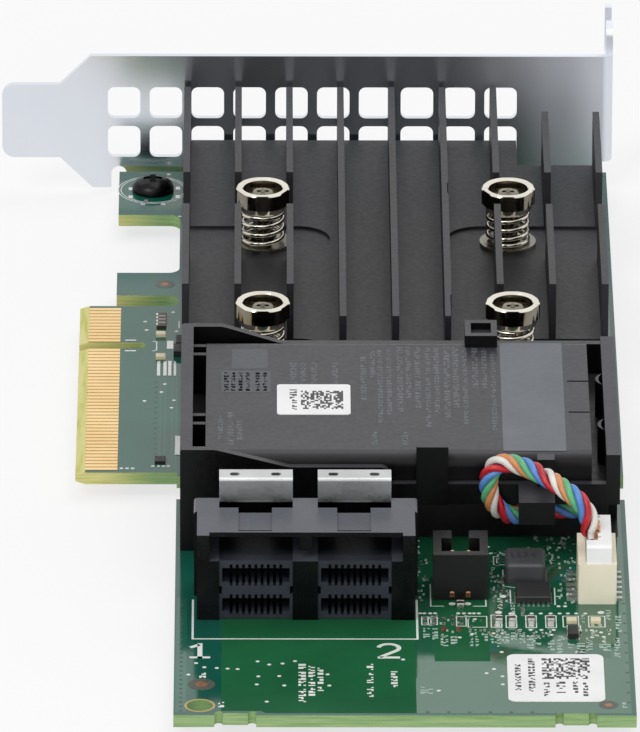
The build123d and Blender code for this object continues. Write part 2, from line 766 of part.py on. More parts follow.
# Battery tray: floor, walls with a stepped top line, ribs, hooks and legs with pegs
tray_floor_top = pack_bottom
tray_front = pack_front - tray_clearance - tray_wall
hook_under = pack_top + tray_clearance
with BuildPart() as battery_tray:
    block((tray_left, tray_right), (tray_front, tray_back), (tray_floor_bottom, tray_floor_top))
    with BuildSketch(standing(tray_front + tray_wall)) as front_wall:
        with BuildLine():
            Polyline(
                (tray_left, tray_floor_bottom),
                (tray_right, tray_floor_bottom),
                (tray_right, tray_front_low_top),
                (rail_end_front, tray_front_low_top),
                (rail_end_front, tray_low_top),
                (low_start_front, tray_low_top),
                (high_end_front, tray_high_top),
                (tray_left, tray_high_top),
                close=True,
            )
        make_face()
        fillet(corners_at(front_wall, [(rail_end_front, tray_low_top)]), radius=rail_end_corner)
        sloped = [(low_start_front, tray_low_top), (high_end_front, tray_high_top)]
        fillet(corners_at(front_wall, sloped), radius=tray_slope_radius)
    extrude(amount=tray_wall)
    with BuildSketch(standing(tray_back)) as back_wall:
        with BuildLine():
            Polyline(
                (tray_left, tray_floor_bottom),
                (tray_right, tray_floor_bottom),
                (tray_right, tray_low_top),
                (low_start_back, tray_low_top),
                (high_end_back, tray_high_top),
                (tray_left, tray_high_top),
                close=True,
            )
        make_face()
        sloped = [(low_start_back, tray_low_top), (high_end_back, tray_high_top)]
        fillet(corners_at(back_wall, sloped), radius=tray_slope_radius)
    extrude(amount=tray_wall)
    block(
        (tray_left, tray_left + side_bar_width), (tray_front, tray_back), (tray_floor_bottom, tray_high_top)
    )
    bar_inside = tray_right - right_bar_width
    block((bar_inside, tray_right), (tray_front, pack_back), (tray_floor_bottom, right_bar_top))
    for y in tray_rib_places:
        block(
            (tray_left, pack_left - tray_clearance / 2),
            (y - tray_rib_width / 2, y + tray_rib_width / 2),
            (tray_floor_bottom, pack_top),
        )
    with BuildSketch(lengthwise(back_clip_left)):
        with BuildLine():
            Polyline(
                (tray_back, tray_floor_bottom),
                (tray_back, clip_top),
                (tray_back - back_clip_reach, clip_top),
                (tray_back - back_clip_reach, hook_under),
                (tray_back - tray_wall, hook_under),
                (tray_back - tray_wall, tray_floor_bottom),
                close=True,
            )
        make_face()
    extrude(amount=back_clip_width)
    with BuildSketch(Plane.XY.offset(clip_top)):
        with Locations((back_clip_left + back_clip_width / 2, tray_back - back_clip_reach / 2)):
            Rectangle(*clip_recess_size)
    extrude(amount=-clip_recess_depth, mode=Mode.SUBTRACT)
    with BuildSketch(lengthwise(front_clip_left)):
        with BuildLine():
            Polyline(
                (tray_front - front_clip_stand, tray_floor_bottom),
                (tray_front - front_clip_stand, clip_top),
                (tray_front + tray_wall, clip_top),
                (tray_front + tray_wall + front_clip_reach, clip_top - front_clip_fall),
                (tray_front + tray_wall + front_clip_reach, hook_under),
                (tray_front + tray_wall, hook_under),
                (tray_front + tray_wall, tray_floor_bottom),
                close=True,
            )
        make_face()
    extrude(amount=front_clip_width)
    cable_hook_right = cable_hook_left + cable_hook_width
    block(
        (cable_hook_left, cable_hook_right),
        (tray_front - cable_hook_reach, tray_front),
        (cable_hook_bottom, cable_hook_top),
    )
    block(
        (cable_hook_right - cable_horn_width, cable_hook_right),
        (tray_front - cable_horn_stand, tray_front + tray_wall),
        (tray_floor_bottom, cable_horn_top),
    )
    finger_tip = bar_inside - spring_finger_bulge
    for y in spring_finger_places:
        with BuildSketch(Plane.XY.offset(tray_floor_bottom)):
            with BuildLine():
                arc_start = (bar_inside, y - spring_finger_half)
                arc_end = (bar_inside, y + spring_finger_half)
                ThreePointArc(arc_start, (finger_tip, y), arc_end)
                ThreePointArc(arc_end, (finger_tip + spring_finger_sheet, y), arc_start)
            make_face()
        extrude(amount=pack_top - spring_finger_drop - tray_floor_bottom)
    for x, y in tray_leg_places:
        half = tray_leg_width / 2
        block((x - half, x + half), (y - half, y + half), (0, tray_floor_bottom))
    with BuildSketch():
        with Locations(*tray_leg_places):
            Circle(tray_peg_radius)
    extrude(amount=-board_thickness)
    outlet_x = lead_route[0][0]
    outlet_y = lead_route[0][1]
    block(
        (outlet_x, outlet_x + outlet_size[0]),
        (outlet_y - outlet_size[1] / 2, outlet_y + outlet_size[1] / 2),
        (tray_floor_bottom - outlet_size[2], tray_floor_bottom),
    )
    outer = [
        e
        for e in battery_tray.edges().filter_by(Axis.Z)
        if abs(e.center().X - tray_left) < 0.01 and abs(e.center().Y - tray_back) < 0.01
    ]
    fillet(outer, radius=tray_corner)
save(battery_tray, "battery_tray")

# Battery lead: straight runs joined by arcs as large as the runs allow
lead_points = [Vector(*p) for p in lead_route]
lead_radii = []
for before, here, after in zip(lead_points, lead_points[1:], lead_points[2:]):
    incoming = here - before
    outgoing = after - here
    half_turn = math.radians(incoming.get_angle(outgoing)) / 2
    lead_radii.append(0.45 * min(incoming.length, outgoing.length) / math.tan(half_turn))
with BuildPart() as battery_lead:
    with BuildLine() as lead_path:
        FilletPolyline(*lead_points, radius=lead_radii)
    lead_start = lead_points[0]
    with BuildSketch(Plane(origin=lead_start, z_dir=lead_points[1] - lead_start)) as lead_section:
        RegularPolygon(lead_diameter / 2, lead_sides)
    lead_area = lead_section.sketch.area
    sweep()
save(battery_lead, "battery_lead")
print("lead radii", [round(r, 2) for r in lead_radii])
lead_length = sum(e.length for e in lead_path.edges())
print("lead length", round(lead_length, 2))
print("lead volume over section times length", battery_lead.part.volume / (lead_area * lead_length))

# Battery socket: an open trough on the board
socket_back = socket_front + socket_length
with BuildPart() as battery_socket:
    block((socket_left, socket_right), (socket_front, socket_back), (0, socket_height))
    block(
        (socket_left + socket_wall, socket_right - socket_thin_wall),
        (socket_front + socket_wall, socket_back + 1),
        (socket_floor, socket_height + 1),
        mode=Mode.SUBTRACT,
    )
    fillet(battery_socket.edges().filter_by(Axis.Z).sort_by(Axis.Y)[:2], radius=socket_corner)
save(battery_socket, "battery_socket")

# Battery plug: a ridge with side slots beside a ledge for the wires, and a cap over the socket's front
plug_left = socket_left + socket_wall + plug_clearance
plug_right = socket_right - socket_thin_wall - plug_clearance
plug_front = socket_front + socket_wall + plug_clearance
ridge_left = plug_left + plug_ledge_width
with BuildPart() as battery_plug:
    block((plug_left, plug_right), (plug_front, socket_back), (socket_floor, plug_ledge_top))
    block((ridge_left, plug_right), (plug_front, socket_back), (plug_ledge_top, plug_top))
    for n in range(plug_slots):
        y = plug_slot_first + n * plug_slot_pitch
        block(
            (ridge_left, ridge_left + plug_slot_depth),
            (y - plug_slot_width / 2, y + plug_slot_width / 2),
            (plug_ledge_top, plug_top),
            mode=Mode.SUBTRACT,
        )
    with BuildSketch(lengthwise(plug_left)) as cap_section:
        with Locations((plug_cap_front, socket_height)):
            Rectangle(plug_cap_length, plug_top - socket_height, align=(Align.MIN, Align.MIN))
        chamfer(corners_at(cap_section, [(plug_cap_front, plug_top)]), length=plug_cap_bevel)
    extrude(amount=plug_right - plug_left)
save(battery_plug, "battery_plug")

# Solder leads of the battery socket, flat feet on both sides
with BuildPart() as battery_socket_leads:
    lead_rows = [socket_lead_first + n * socket_lead_pitch for n in range(socket_lead_count)]
    left_reach, right_reach = socket_lead_reach
    with BuildSketch():
        with Locations(*[(socket_left, y) for y in lead_rows]):
            Rectangle(left_reach, socket_lead_width, align=(Align.MAX, Align.CENTER))
        with Locations(*[(socket_right, y) for y in lead_rows]):
            Rectangle(right_reach, socket_lead_width, align=(Align.MIN, Align.CENTER))
    extrude(amount=socket_lead_thickness)
save(battery_socket_leads, "battery_socket_leads")

# Double port housing
port_middle = (port_left + port_right) / 2
first_lefts = (block_left, block_left + port_pitch)
with BuildPart() as port_housing:
    block((port_left, port_right), (port_front, port_back), (0, port_top))
    block(
        (port_left - wing_stand, port_right + wing_stand),
        (port_back - wing_length, port_back),
        (0, port_top),
    )
    wing_edges = [
        e
        for e in port_housing.edges().filter_by(Axis.Y)
        if abs(e.center().Z - port_top) < 0.01 and e.length < wing_length + 0.1
    ]
    fillet(wing_edges, radius=wing_round)
    block(
        (port_left + pillar_width, port_right - pillar_width),
        (port_front - 1, port_front + roof_setback),
        (pillar_step, port_top + 1),
        mode=Mode.SUBTRACT,
    )
    block(
        (port_left + pillar_width, port_right - pillar_width),
        (port_front - 1, upper_cavity_back),
        (upper_cavity_floor, port_top - port_roof),
        mode=Mode.SUBTRACT,
    )
    for left in first_lefts:
        right = left + block_width
        latch = (left + latch_left, left + latch_left + latch_width)
        latch_end = port_back - latch_back
        above = port_top + 1
        block((left, right), (port_front - 1, block_back), (-1, upper_cavity_floor), mode=Mode.SUBTRACT)
        block((left, right), cover_well, (cover_bottom, above), mode=Mode.SUBTRACT)
        block(latch, (latch_notch_front, latch_end), (cover_bottom, above), mode=Mode.SUBTRACT)
        block(latch, (latch_front, latch_notch_front), (port_top - latch_sink, above), mode=Mode.SUBTRACT)
        block(
            latch,
            (latch_front - latch_slot, latch_front),
            (port_top - latch_slot_depth, above),
            mode=Mode.SUBTRACT,
        )
    block(
        (port_middle - rib_width / 2, port_middle + rib_width / 2),
        (port_front + roof_setback, upper_cavity_back),
        (rib_bottom, port_top - port_roof),
    )
save(port_housing, "port_housing")

# Contact blocks and their contacts, one set in each port
slot_inset = (block_width - card_slot_width) / 2
comb_inset = (block_width - (comb_count - 1) * comb_pitch) / 2
for number, left in enumerate(first_lefts, start=1):
    comb_centres = [left + comb_inset + n * comb_pitch for n in range(comb_count)]
    with BuildPart() as contact_block:
        with BuildSketch(standing(block_back)):
            with Locations((left, block_bottom)):
                Rectangle(block_width, block_top - block_bottom, align=(Align.MIN, Align.MIN))
            waist_middle = sum(block_waist) / 2
            with Locations((left, waist_middle), (left + block_width, waist_middle)):
                Rectangle(2 * block_waist_depth, block_waist[1] - block_waist[0], mode=Mode.SUBTRACT)
        extrude(amount=block_back - block_front)
        with BuildSketch(standing(block_front)):
            for low, high in card_slots:
                with Locations((left + slot_inset, low)):
                    Rectangle(card_slot_width, high - low, align=(Align.MIN, Align.MIN))
        extrude(amount=-card_slot_depth, mode=Mode.SUBTRACT)
        with BuildSketch(standing(block_front)):
            for low, high in card_slots:
                with Locations(*[(x, (low + high) / 2) for x in comb_centres]):
                    Rectangle(comb_width, high - low + 2 * comb_depth)
        extrude(amount=-comb_length, mode=Mode.SUBTRACT)
    save(contact_block, f"port_{number}_contact_block")
    with BuildPart() as contacts:
        with BuildSketch(standing(block_front + comb_length)):
            for low, high in card_slots:
                rows = (low - comb_depth + contact_height / 2, high + comb_depth - contact_height / 2)
                with Locations(*[(x, z) for x in comb_centres for z in rows]):
                    Rectangle(comb_width, contact_height)
        extrude(amount=comb_length - contact_setback)
    save(contacts, f"port_{number}_contacts")

# Folded cover plates that stand in the slots behind the ports
cover_front = cover_well[1] - plate_sheet
for number, left in enumerate(first_lefts, start=1):
    with BuildPart() as cover_plate:
        with BuildSketch(lengthwise(left)) as cover_section:
            with BuildLine():
                Polyline(
                    (cover_front, cover_bottom),
                    (cover_front + plate_sheet, cover_bottom),
                    (cover_front + plate_sheet, cover_top - plate_sheet),
                    (cover_lip_back, cover_top - plate_sheet),
                    (cover_lip_back, cover_top),
                    (cover_front, cover_top),
                    close=True,
                )
            make_face()
            fillet(corners_at(cover_section, [(cover_front, cover_top)]), radius=cover_bend)
        extrude(amount=block_width)
        slot_middle_y = (cover_front + cover_lip_back) / 2
        with BuildSketch(Plane.XY.offset(cover_top)):
            with Locations(*[(left + x, slot_middle_y) for x in cover_slot_centres]):
                RectangleRounded(*cover_slot_size, cover_slot_size[1] * 0.35)
        extrude(amount=-plate_sheet, mode=Mode.SUBTRACT)
    save(cover_plate, f"port_{number}_cover_plate")

# Jumper header with an open key at its back
header_right = header_left + header_width
header_back = header_front + header_length
header_middle = (header_left + header_right) / 2
cavity_floor = header_height - header_cavity_depth
with BuildPart() as jumper_header:
    block((header_left, header_right), (header_front, header_back), (0, header_height))
    block(
        (header_left + header_wall, header_right - header_wall),
        (header_front + header_front_wall, header_back - header_back_wall),
        (cavity_floor, header_height + 1),
        mode=Mode.SUBTRACT,
    )
    block(
        (header_middle - header_key_width / 2, header_middle + header_key_width / 2),
        (header_front + header_wall, header_back + 1),
        (cavity_floor, header_height + 1),
        mode=Mode.SUBTRACT,
    )
    top_edges = jumper_header.edges().filter_by(Axis.X).group_by(Axis.Z)[-1]
    chamfer(top_edges.sort_by(Axis.Y)[0], length=header_chamfer)
save(jumper_header, "jumper_header")

with BuildPart() as jumper_pins:
    with BuildSketch(Plane.XY.offset(cavity_floor)):
        with Locations(*[(header_middle + s * jumper_pin_pitch / 2, jumper_pin_y) for s in (-1, 1)]):
            Rectangle(jumper_pin_size, jumper_pin_size)
    extrude(amount=jumper_pin_top - cavity_floor)
    chamfer(jumper_pins.edges().group_by(Axis.Z)[-1], length=jumper_pin_bevel)
save(jumper_pins, "jumper_pins")

# Power inductor, regulator chip and its leads
with BuildPart() as power_inductor:
    with BuildSketch():
        with Locations(inductor_centre):
            RectangleRounded(inductor_size[0], inductor_size[1], inductor_corner)
    extrude(amount=inductor_size[2])
    chamfer(power_inductor.edges().group_by(Axis.Z)[-1], length=inductor_chamfer)
save(power_inductor, "power_inductor")

with BuildPart() as regulator_chip:
    with BuildSketch(Plane.XY.offset(regulator_foot)):
        with Locations(regulator_centre):
            Rectangle(regulator_size[0], regulator_size[1])
    extrude(amount=regulator_size[2] - regulator_foot)
    chamfer(regulator_chip.edges().group_by(Axis.Z)[-1], length=regulator_chamfer)
save(regulator_chip, "regulator_chip")

with BuildPart() as regulator_leads_part:
    with BuildSketch():
        for side in (-1, 1):
            foot_y = regulator_centre[1] + side * regulator_size[1] / 2
            start_x = regulator_centre[0] - (regulator_leads - 1) / 2 * regulator_pitch
            with Locations(*[(start_x + n * regulator_pitch, foot_y) for n in range(regulator_leads)]):
                Rectangle(*regulator_lead_size)
    extrude(amount=regulator_foot)
save(regulator_leads_part, "regulator_leads")


def surface_parts(name, places, size):
    """Like surface parts on the board, each a box with its long edges eased."""
    with BuildPart() as parts:
        with BuildSketch():
            with Locations(*places):
                Rectangle(size[0], size[1])
        extrude(amount=size[2])
        chamfer(parts.edges().group_by(Axis.Z)[-1], length=surface_part_bevel * min(size))
    save(parts, name)


surface_parts("chip_capacitors", capacitor_places, capacitor_size)
surface_parts("chip_resistors", cream_part_places, cream_part_size)
surface_parts("resistor_array", [array_place], array_size)
surface_parts("small_transistor", [transistor_place], transistor_size)
surface_parts("logic_chip", [logic_place], logic_size)
surface_parts("side_chips", side_chip_places, side_chip_size)

# Board label
with BuildPart() as board_label:
    with BuildSketch():
        with Locations((sum(board_label_x) / 2, sum(board_label_y) / 2)):
            RectangleRounded(
                board_label_x[1] - board_label_x[0], board_label_y[1] - board_label_y[0], board_label_corner
            )
    extrude(amount=label_thickness)
save(board_label, "board_label")

# Plain label beside the edge connector, partly below the tray
with BuildPart() as side_label:
    block(side_label_x, side_label_y, (0, label_thickness))
save(side_label, "side_label")
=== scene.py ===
import math
import random

import bpy
from mathutils import Matrix, Vector


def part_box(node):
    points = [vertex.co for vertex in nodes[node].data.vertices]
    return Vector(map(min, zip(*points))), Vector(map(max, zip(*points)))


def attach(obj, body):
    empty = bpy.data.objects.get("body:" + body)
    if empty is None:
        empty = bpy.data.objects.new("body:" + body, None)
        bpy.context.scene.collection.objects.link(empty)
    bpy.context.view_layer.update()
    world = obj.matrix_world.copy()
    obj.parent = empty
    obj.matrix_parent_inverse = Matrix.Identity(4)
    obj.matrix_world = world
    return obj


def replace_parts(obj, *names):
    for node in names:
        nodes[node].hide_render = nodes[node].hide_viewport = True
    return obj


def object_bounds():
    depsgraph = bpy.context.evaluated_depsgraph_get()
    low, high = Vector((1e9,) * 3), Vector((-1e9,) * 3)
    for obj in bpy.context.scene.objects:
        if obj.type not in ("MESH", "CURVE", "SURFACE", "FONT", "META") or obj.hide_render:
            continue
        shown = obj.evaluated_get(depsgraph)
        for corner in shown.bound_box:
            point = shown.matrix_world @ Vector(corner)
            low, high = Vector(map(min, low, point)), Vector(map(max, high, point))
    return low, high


MM = 0.001
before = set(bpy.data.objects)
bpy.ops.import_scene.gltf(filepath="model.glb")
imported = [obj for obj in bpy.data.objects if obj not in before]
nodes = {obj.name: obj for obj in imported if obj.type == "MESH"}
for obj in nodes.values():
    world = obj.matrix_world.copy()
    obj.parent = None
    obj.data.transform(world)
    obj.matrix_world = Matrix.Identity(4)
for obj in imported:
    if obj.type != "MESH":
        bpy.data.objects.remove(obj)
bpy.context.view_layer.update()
random.seed(7)


def node_box(name):
    """A CAD node's lowest and highest corners in millimetres."""
    low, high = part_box(name)
    return low / MM, high / MM


# Colours

def colour(code):
    """A colour written as six hexadecimal digits, as linear red, green, blue and one."""
    parts = [int(code[n:n + 2], 16) / 255 for n in (0, 2, 4)]
    linear = [c / 12.92 if c <= 0.04045 else ((c + 0.055) / 1.055) ** 2.4 for c in parts]
    return (*linear, 1.0)


class Graph:
    """A material's node tree, with one short call for each kind of node used here."""

    def __init__(self, name):
        self.material = bpy.data.materials.new(name)
        self.material.use_nodes = True
        self.tree = self.material.node_tree
        self.tree.nodes.clear()
        self.place = self.add("ShaderNodeTexCoord").outputs["Object"]

    def add(self, kind, inputs=(), **settings):
        node = self.tree.nodes.new(kind)
        for key, value in settings.items():
            setattr(node, key, value)
        for key, value in dict(inputs).items():
            if isinstance(value, bpy.types.NodeSocket):
                self.tree.links.new(value, node.inputs[key])
            else:
                node.inputs[key].default_value = value
        return node

    def noise(self, scale, detail=2.0, stretch=None):
        place = self.place
        if stretch:
            place = self.add("ShaderNodeMapping", {"Vector": place, "Scale": stretch}).outputs[0]
        inputs = {"Vector": place, "Scale": scale, "Detail": detail}
        return self.add("ShaderNodeTexNoise", inputs).outputs["Fac"]

    def ramp(self, value, stops):
        node = self.add("ShaderNodeValToRGB", {"Fac": value})
        elements = node.color_ramp.elements
        elements[0].position, elements[0].color = stops[0]
        elements[-1].position, elements[-1].color = stops[-1]
        for at, tint in stops[1:-1]:
            elements.new(at).color = tint
        return node.outputs["Color"]

    def spread(self, value, low, high, start=0.35, end=0.65):
        inputs = {"Value": value, "From Min": start, "From Max": end, "To Min": low, "To Max": high}
        return self.add("ShaderNodeMapRange", inputs).outputs["Result"]

    def math(self, operation, first, second=0.0):
        return self.add("ShaderNodeMath", {0: first, 1: second}, operation=operation).outputs[0]

    def mix(self, factor, first, second):
        node = self.add("ShaderNodeMix", data_type="RGBA")
        for index, value in ((0, factor), (6, first), (7, second)):
            if isinstance(value, bpy.types.NodeSocket):
                self.tree.links.new(value, node.inputs[index])
            else:
                node.inputs[index].default_value = value
        return node.outputs[2]

    def axis(self, index):
        return self.add("ShaderNodeSeparateXYZ", {0: self.place}).outputs[index]

    def bump(self, height, depth):
        return self.add("ShaderNodeBump", {"Height": height, "Distance": depth}).outputs["Normal"]

    def shader(self, base, roughness, normal, metallic=0.0, index=1.5):
        inputs = {"Base Color": base, "Roughness": roughness, "Normal": normal}
        inputs.update({"Metallic": metallic, "IOR": index})
        surface = self.add("ShaderNodeBsdfPrincipled", inputs).outputs[0]
        self.add("ShaderNodeOutputMaterial", {"Surface": surface})
        return self.material


def moulded(name, dark, light, rough=(0.36, 0.5), grain=2400, depth=6e-6, patch=160):
    """Moulded plastic or resin: cloudy colour, fine moulded grain."""
    g = Graph(name)
    cloud = g.noise(patch, 4)
    fine = g.noise(grain, 3)
    base = g.ramp(cloud, [(0.3, colour(dark)), (0.7, colour(light))])
    return g.shader(base, g.spread(fine, *rough), g.bump(fine, depth))


def lit_top_shaded_sides(name, side, dark, light, rough, grain=2000, depth=4e-6, turn=(0.3, 0.8)):
    """Moulded plastic or film with painted light: a dark tone painted as shade on its sides, and a lighter
    cloudy one on its upper faces.

    The first goes over into the second where a face's normal rises by the two limits of turn."""
    g = Graph(name)
    normal = g.add("ShaderNodeNewGeometry").outputs["Normal"]
    upright = g.add("ShaderNodeSeparateXYZ", {0: normal}).outputs[2]
    cloud = g.noise(160, 4)
    fine = g.noise(grain, 3)
    upper = g.ramp(cloud, [(0.3, colour(dark)), (0.7, colour(light))])
    base = g.mix(g.spread(upright, 0.0, 1.0, *turn), colour(side), upper)
    return g.shader(base, g.spread(fine, *rough), g.bump(fine, depth), index=black_plastic_index)


def metal(name, dark, light, rough=(0.2, 0.34), streak=(1, 1, 1), scale=500, depth=1.5e-6):
    """Bare or plated metal: streaked colour and polish."""
    g = Graph(name)
    cloud = g.noise(90, 3)
    lines = g.noise(scale, 3, streak)
    base = g.ramp(cloud, [(0.3, colour(dark)), (0.7, colour(light))])
    return g.shader(base, g.spread(lines, *rough), g.bump(lines, depth), metallic=1.0)


def layered_edge(g, layers, codes):
    """The lines of glass fibre on a cut edge, from dark through middle to light."""
    return g.ramp(layers, [(at, colour(code)) for at, code in zip((0.3, 0.5, 0.7), codes)])


def board_mask():
    """Solder mask on the board's two faces, and layered glass fibre on its cut edges and bevel."""
    g = Graph("board_mask")
    normal = g.add("ShaderNodeNewGeometry").outputs["Normal"]
    upright = g.math("ABSOLUTE", g.add("ShaderNodeSeparateXYZ", {0: normal}).outputs[2])
    flat = g.math("GREATER_THAN", upright, 0.97)
    inland = g.math("GREATER_THAN", g.axis(0), bevel_length * MM)
    faced = g.math("MULTIPLY", flat, inland)
    cloud = g.noise(60, 4)
    mask = g.ramp(cloud, [(0.3, colour("0E5042")), (0.7, colour("135A4B"))])
    layers = g.noise(500, 3, (0.35, 0.35, 9.0))
    near_fingers = g.spread(g.axis(0), 1.0, 0.0, 3 * MM, 10 * MM)
    green_edge = layered_edge(g, layers, ("71945C", "86A66E", "98AE78"))
    yellow_edge = layered_edge(g, layers, ("B9B65E", "CFCB80", "D6CF90"))
    edge = g.mix(near_fingers, green_edge, yellow_edge)
    base = g.mix(faced, edge, mask)
    ripple = g.noise(700, 2)
    rough = g.mix(faced, (0.62, 0.62, 0.62, 1), (0.1, 0.1, 0.1, 1))
    return g.shader(base, rough, g.bump(ripple, 6e-7), index=1.53)


def coated(name, dark, light, rough=(0.05, 0.09), index=1.85):
    """Solder mask over copper; the index sets how strongly it mirrors the room."""
    g = Graph(name)
    base = g.ramp(g.noise(90, 4), [(0.3, colour(dark)), (0.7, colour(light))])
    ripple = g.noise(700, 2)
    return g.shader(base, g.spread(ripple, *rough), g.bump(ripple, 5e-7), index=index)


def anodised():
    """Black anodised aluminium with an even satin skin."""
    g = Graph("black_anodised")
    grain = g.noise(1600, 3)
    cloud = g.noise(70, 3)
    base = g.ramp(cloud, [(0.3, colour("262628")), (0.7, colour("2E2E32"))])
    return g.shader(base, g.spread(grain, 0.42, 0.5), g.bump(grain, 1.5e-6), metallic=0.25)


def bracket_steel():
    """Bright zinc-plated sheet: cloudy polish, duller past the ports, with faint rolling lines along X."""
    g = Graph("zinc_plated_sheet")
    cloud = g.noise(30, 4)
    lines = g.noise(200, 3, (0.4, 10, 10))
    base = g.ramp(cloud, [(0.3, colour("D8DCE5")), (0.7, colour("E4E7EE"))])
    dull = g.spread(g.axis(0), 0.0, 0.34, 44 * MM, 60 * MM)
    rough = g.math("ADD", g.spread(cloud, 0.16, 0.22), dull)
    return g.shader(base, rough, g.bump(lines, 4e-7), metallic=1.0)


def comb_resin():
    """Slate resin at the comb's face, with painted shade that turns it black deeper inside the port."""
    g = Graph("comb_plastic")
    cloud = g.noise(160, 4)
    fine = g.noise(2200, 3)
    face = g.ramp(cloud, [(0.3, colour("262932")), (0.7, colour("2E323C"))])
    # Painted shade: near black deeper inside the port
    shade_inside = g.ramp(cloud, [(0.3, colour("050506")), (0.7, colour("09090B"))])
    inward = g.spread(g.axis(1), 0.0, 1.0, (port_low.y + 1.5) * MM, (port_low.y + 4.0) * MM)
    return g.shader(g.mix(inward, face, shade_inside), g.spread(fine, 0.36, 0.46), g.bump(fine, 4e-6))


def cover_sheet():
    """Brushed sheet behind a port, with painted shade that turns it black up to the height of the port's
    roof.
    """
    g = Graph("cover_sheet")
    lines = g.noise(400, 3, (8, 0.4, 8))
    cloud = g.noise(120, 3)
    bright = g.ramp(cloud, [(0.3, colour("BABCBC")), (0.7, colour("CED0CF"))])
    dark = g.ramp(cloud, [(0.3, colour("0C0C0E")), (0.7, colour("141416"))])
    raised = g.spread(g.axis(2), 0.0, 1.0, painted_shade_to * MM, (painted_shade_to + 0.1) * MM)
    base = g.mix(raised, dark, bright)
    return g.shader(base, g.spread(lines, 0.3, 0.42), g.bump(lines, 8e-7), metallic=1.0)


# Shapes

def show(name, data, materials):
    """A new piece of the object, which rides on the card."""
    for material in materials:
        data.materials.append(material)
    obj = bpy.data.objects.new(name, data)
    bpy.context.scene.collection.objects.link(obj)
    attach(obj, "root")
    return obj


class Mesh:
    """Points in millimetres and faces, gathered until they become one piece."""

    def __init__(self):
        self.points, self.faces, self.kinds = [], [], []

    def extend(self, points, faces, kind=0):
        start = len(self.points)
        self.points += [tuple(p) for p in points]
        self.faces += [tuple(start + n for n in face) for face in faces]
        self.kinds += [kind] * len(faces)

    def prism(self, corners, low, high, kind=0, ease=0.0):
        """An upright prism over an anticlockwise outline; ease slopes its top edge inwards."""
        count = len(corners)
        rings = [(low, 0.0), (high - ease, 0.0), (high, ease)] if ease else [(low, 0.0), (high, 0.0)]
        mid_x = sum(c[0] for c in corners) / count
        mid_y = sum(c[1] for c in corners) / count
        points = []
        for z, inset in rings:
            for x, y in corners:
                dx = math.copysign(min(inset, abs(x - mid_x)), x - mid_x)
                dy = math.copysign(min(inset, abs(y - mid_y)), y - mid_y)
                points.append((x - dx, y - dy, z))
        faces = [tuple(reversed(range(count))), tuple(range(len(points) - count, len(points)))]
        for level in range(len(rings) - 1):
            for n in range(count):
                m = (n + 1) % count
                a = level * count
                faces.append((a + n, a + m, a + count + m, a + count + n))
        self.extend(points, faces, kind)

    def block(self, x, y, z, kind=0, ease=0.0):
        """A box between two limits on each axis."""
        self.prism([(x[0], y[0]), (x[1], y[0]), (x[1], y[1]), (x[0], y[1])], z[0], z[1], kind, ease)

    def tube(self, path, radius, sides=10, kind=0):
        """A round tube along points, with closed ends."""
        path = [Vector(p) for p in path]
        count = len(path)
        across = None
        points = []
        for n, here in enumerate(path):
            along = (path[min(n + 1, count - 1)] - path[max(n - 1, 0)]).normalized()
            if across is None:
                across = along.orthogonal().normalized()
            across = (across - along * across.dot(along)).normalized()
            other = along.cross(across)
            for k in range(sides):
                turn = 2 * math.pi * k / sides
                points.append(here + radius * (math.cos(turn) * across + math.sin(turn) * other))
        faces = [tuple(reversed(range(sides))), tuple(range((count - 1) * sides, count * sides))]
        for n in range(count - 1):
            for k in range(sides):
                m = (k + 1) % sides
                a = n * sides
                faces.append((a + k, a + m, a + sides + m, a + sides + k))
        self.extend(points, faces, kind)

    def lathe(self, profile, x, y, sides=72, flat=None, kind=0):
        """A turned form about a vertical axis, from (radius, height) pairs that go up its outside.

        With flat, six flats at that distance from the axis cut its widest parts."""
        points = []
        for radius, z in profile:
            for k in range(sides):
                turn = 2 * math.pi * k / sides
                limit = radius
                if flat and radius > flat:
                    off = (turn + math.pi / 2 + math.pi / 6) % (math.pi / 3) - math.pi / 6
                    limit = min(radius, flat / math.cos(off))
                points.append((x + limit * math.cos(turn), y + limit * math.sin(turn), z))
        count = len(profile)
        faces = [tuple(reversed(range(sides))), tuple(range((count - 1) * sides, count * sides))]
        for n in range(count - 1):
            for k in range(sides):
                m = (k + 1) % sides
                a = n * sides
                faces.append((a + k, a + m, a + sides + m, a + sides + k))
        self.extend(points, faces, kind)

    def data(self, name, smooth=None):
        mesh = bpy.data.meshes.new(name)
        mesh.from_pydata([Vector(p) * MM for p in self.points], [], self.faces)
        mesh.polygons.foreach_set("material_index", self.kinds)
        if smooth is not None:
            mesh.shade_smooth()
            mesh.set_sharp_from_angle(angle=math.radians(smooth))
        mesh.update()
        return mesh

    def piece(self, name, materials, slot, smooth=None):
        return show(name, self.data(name, smooth), materials)


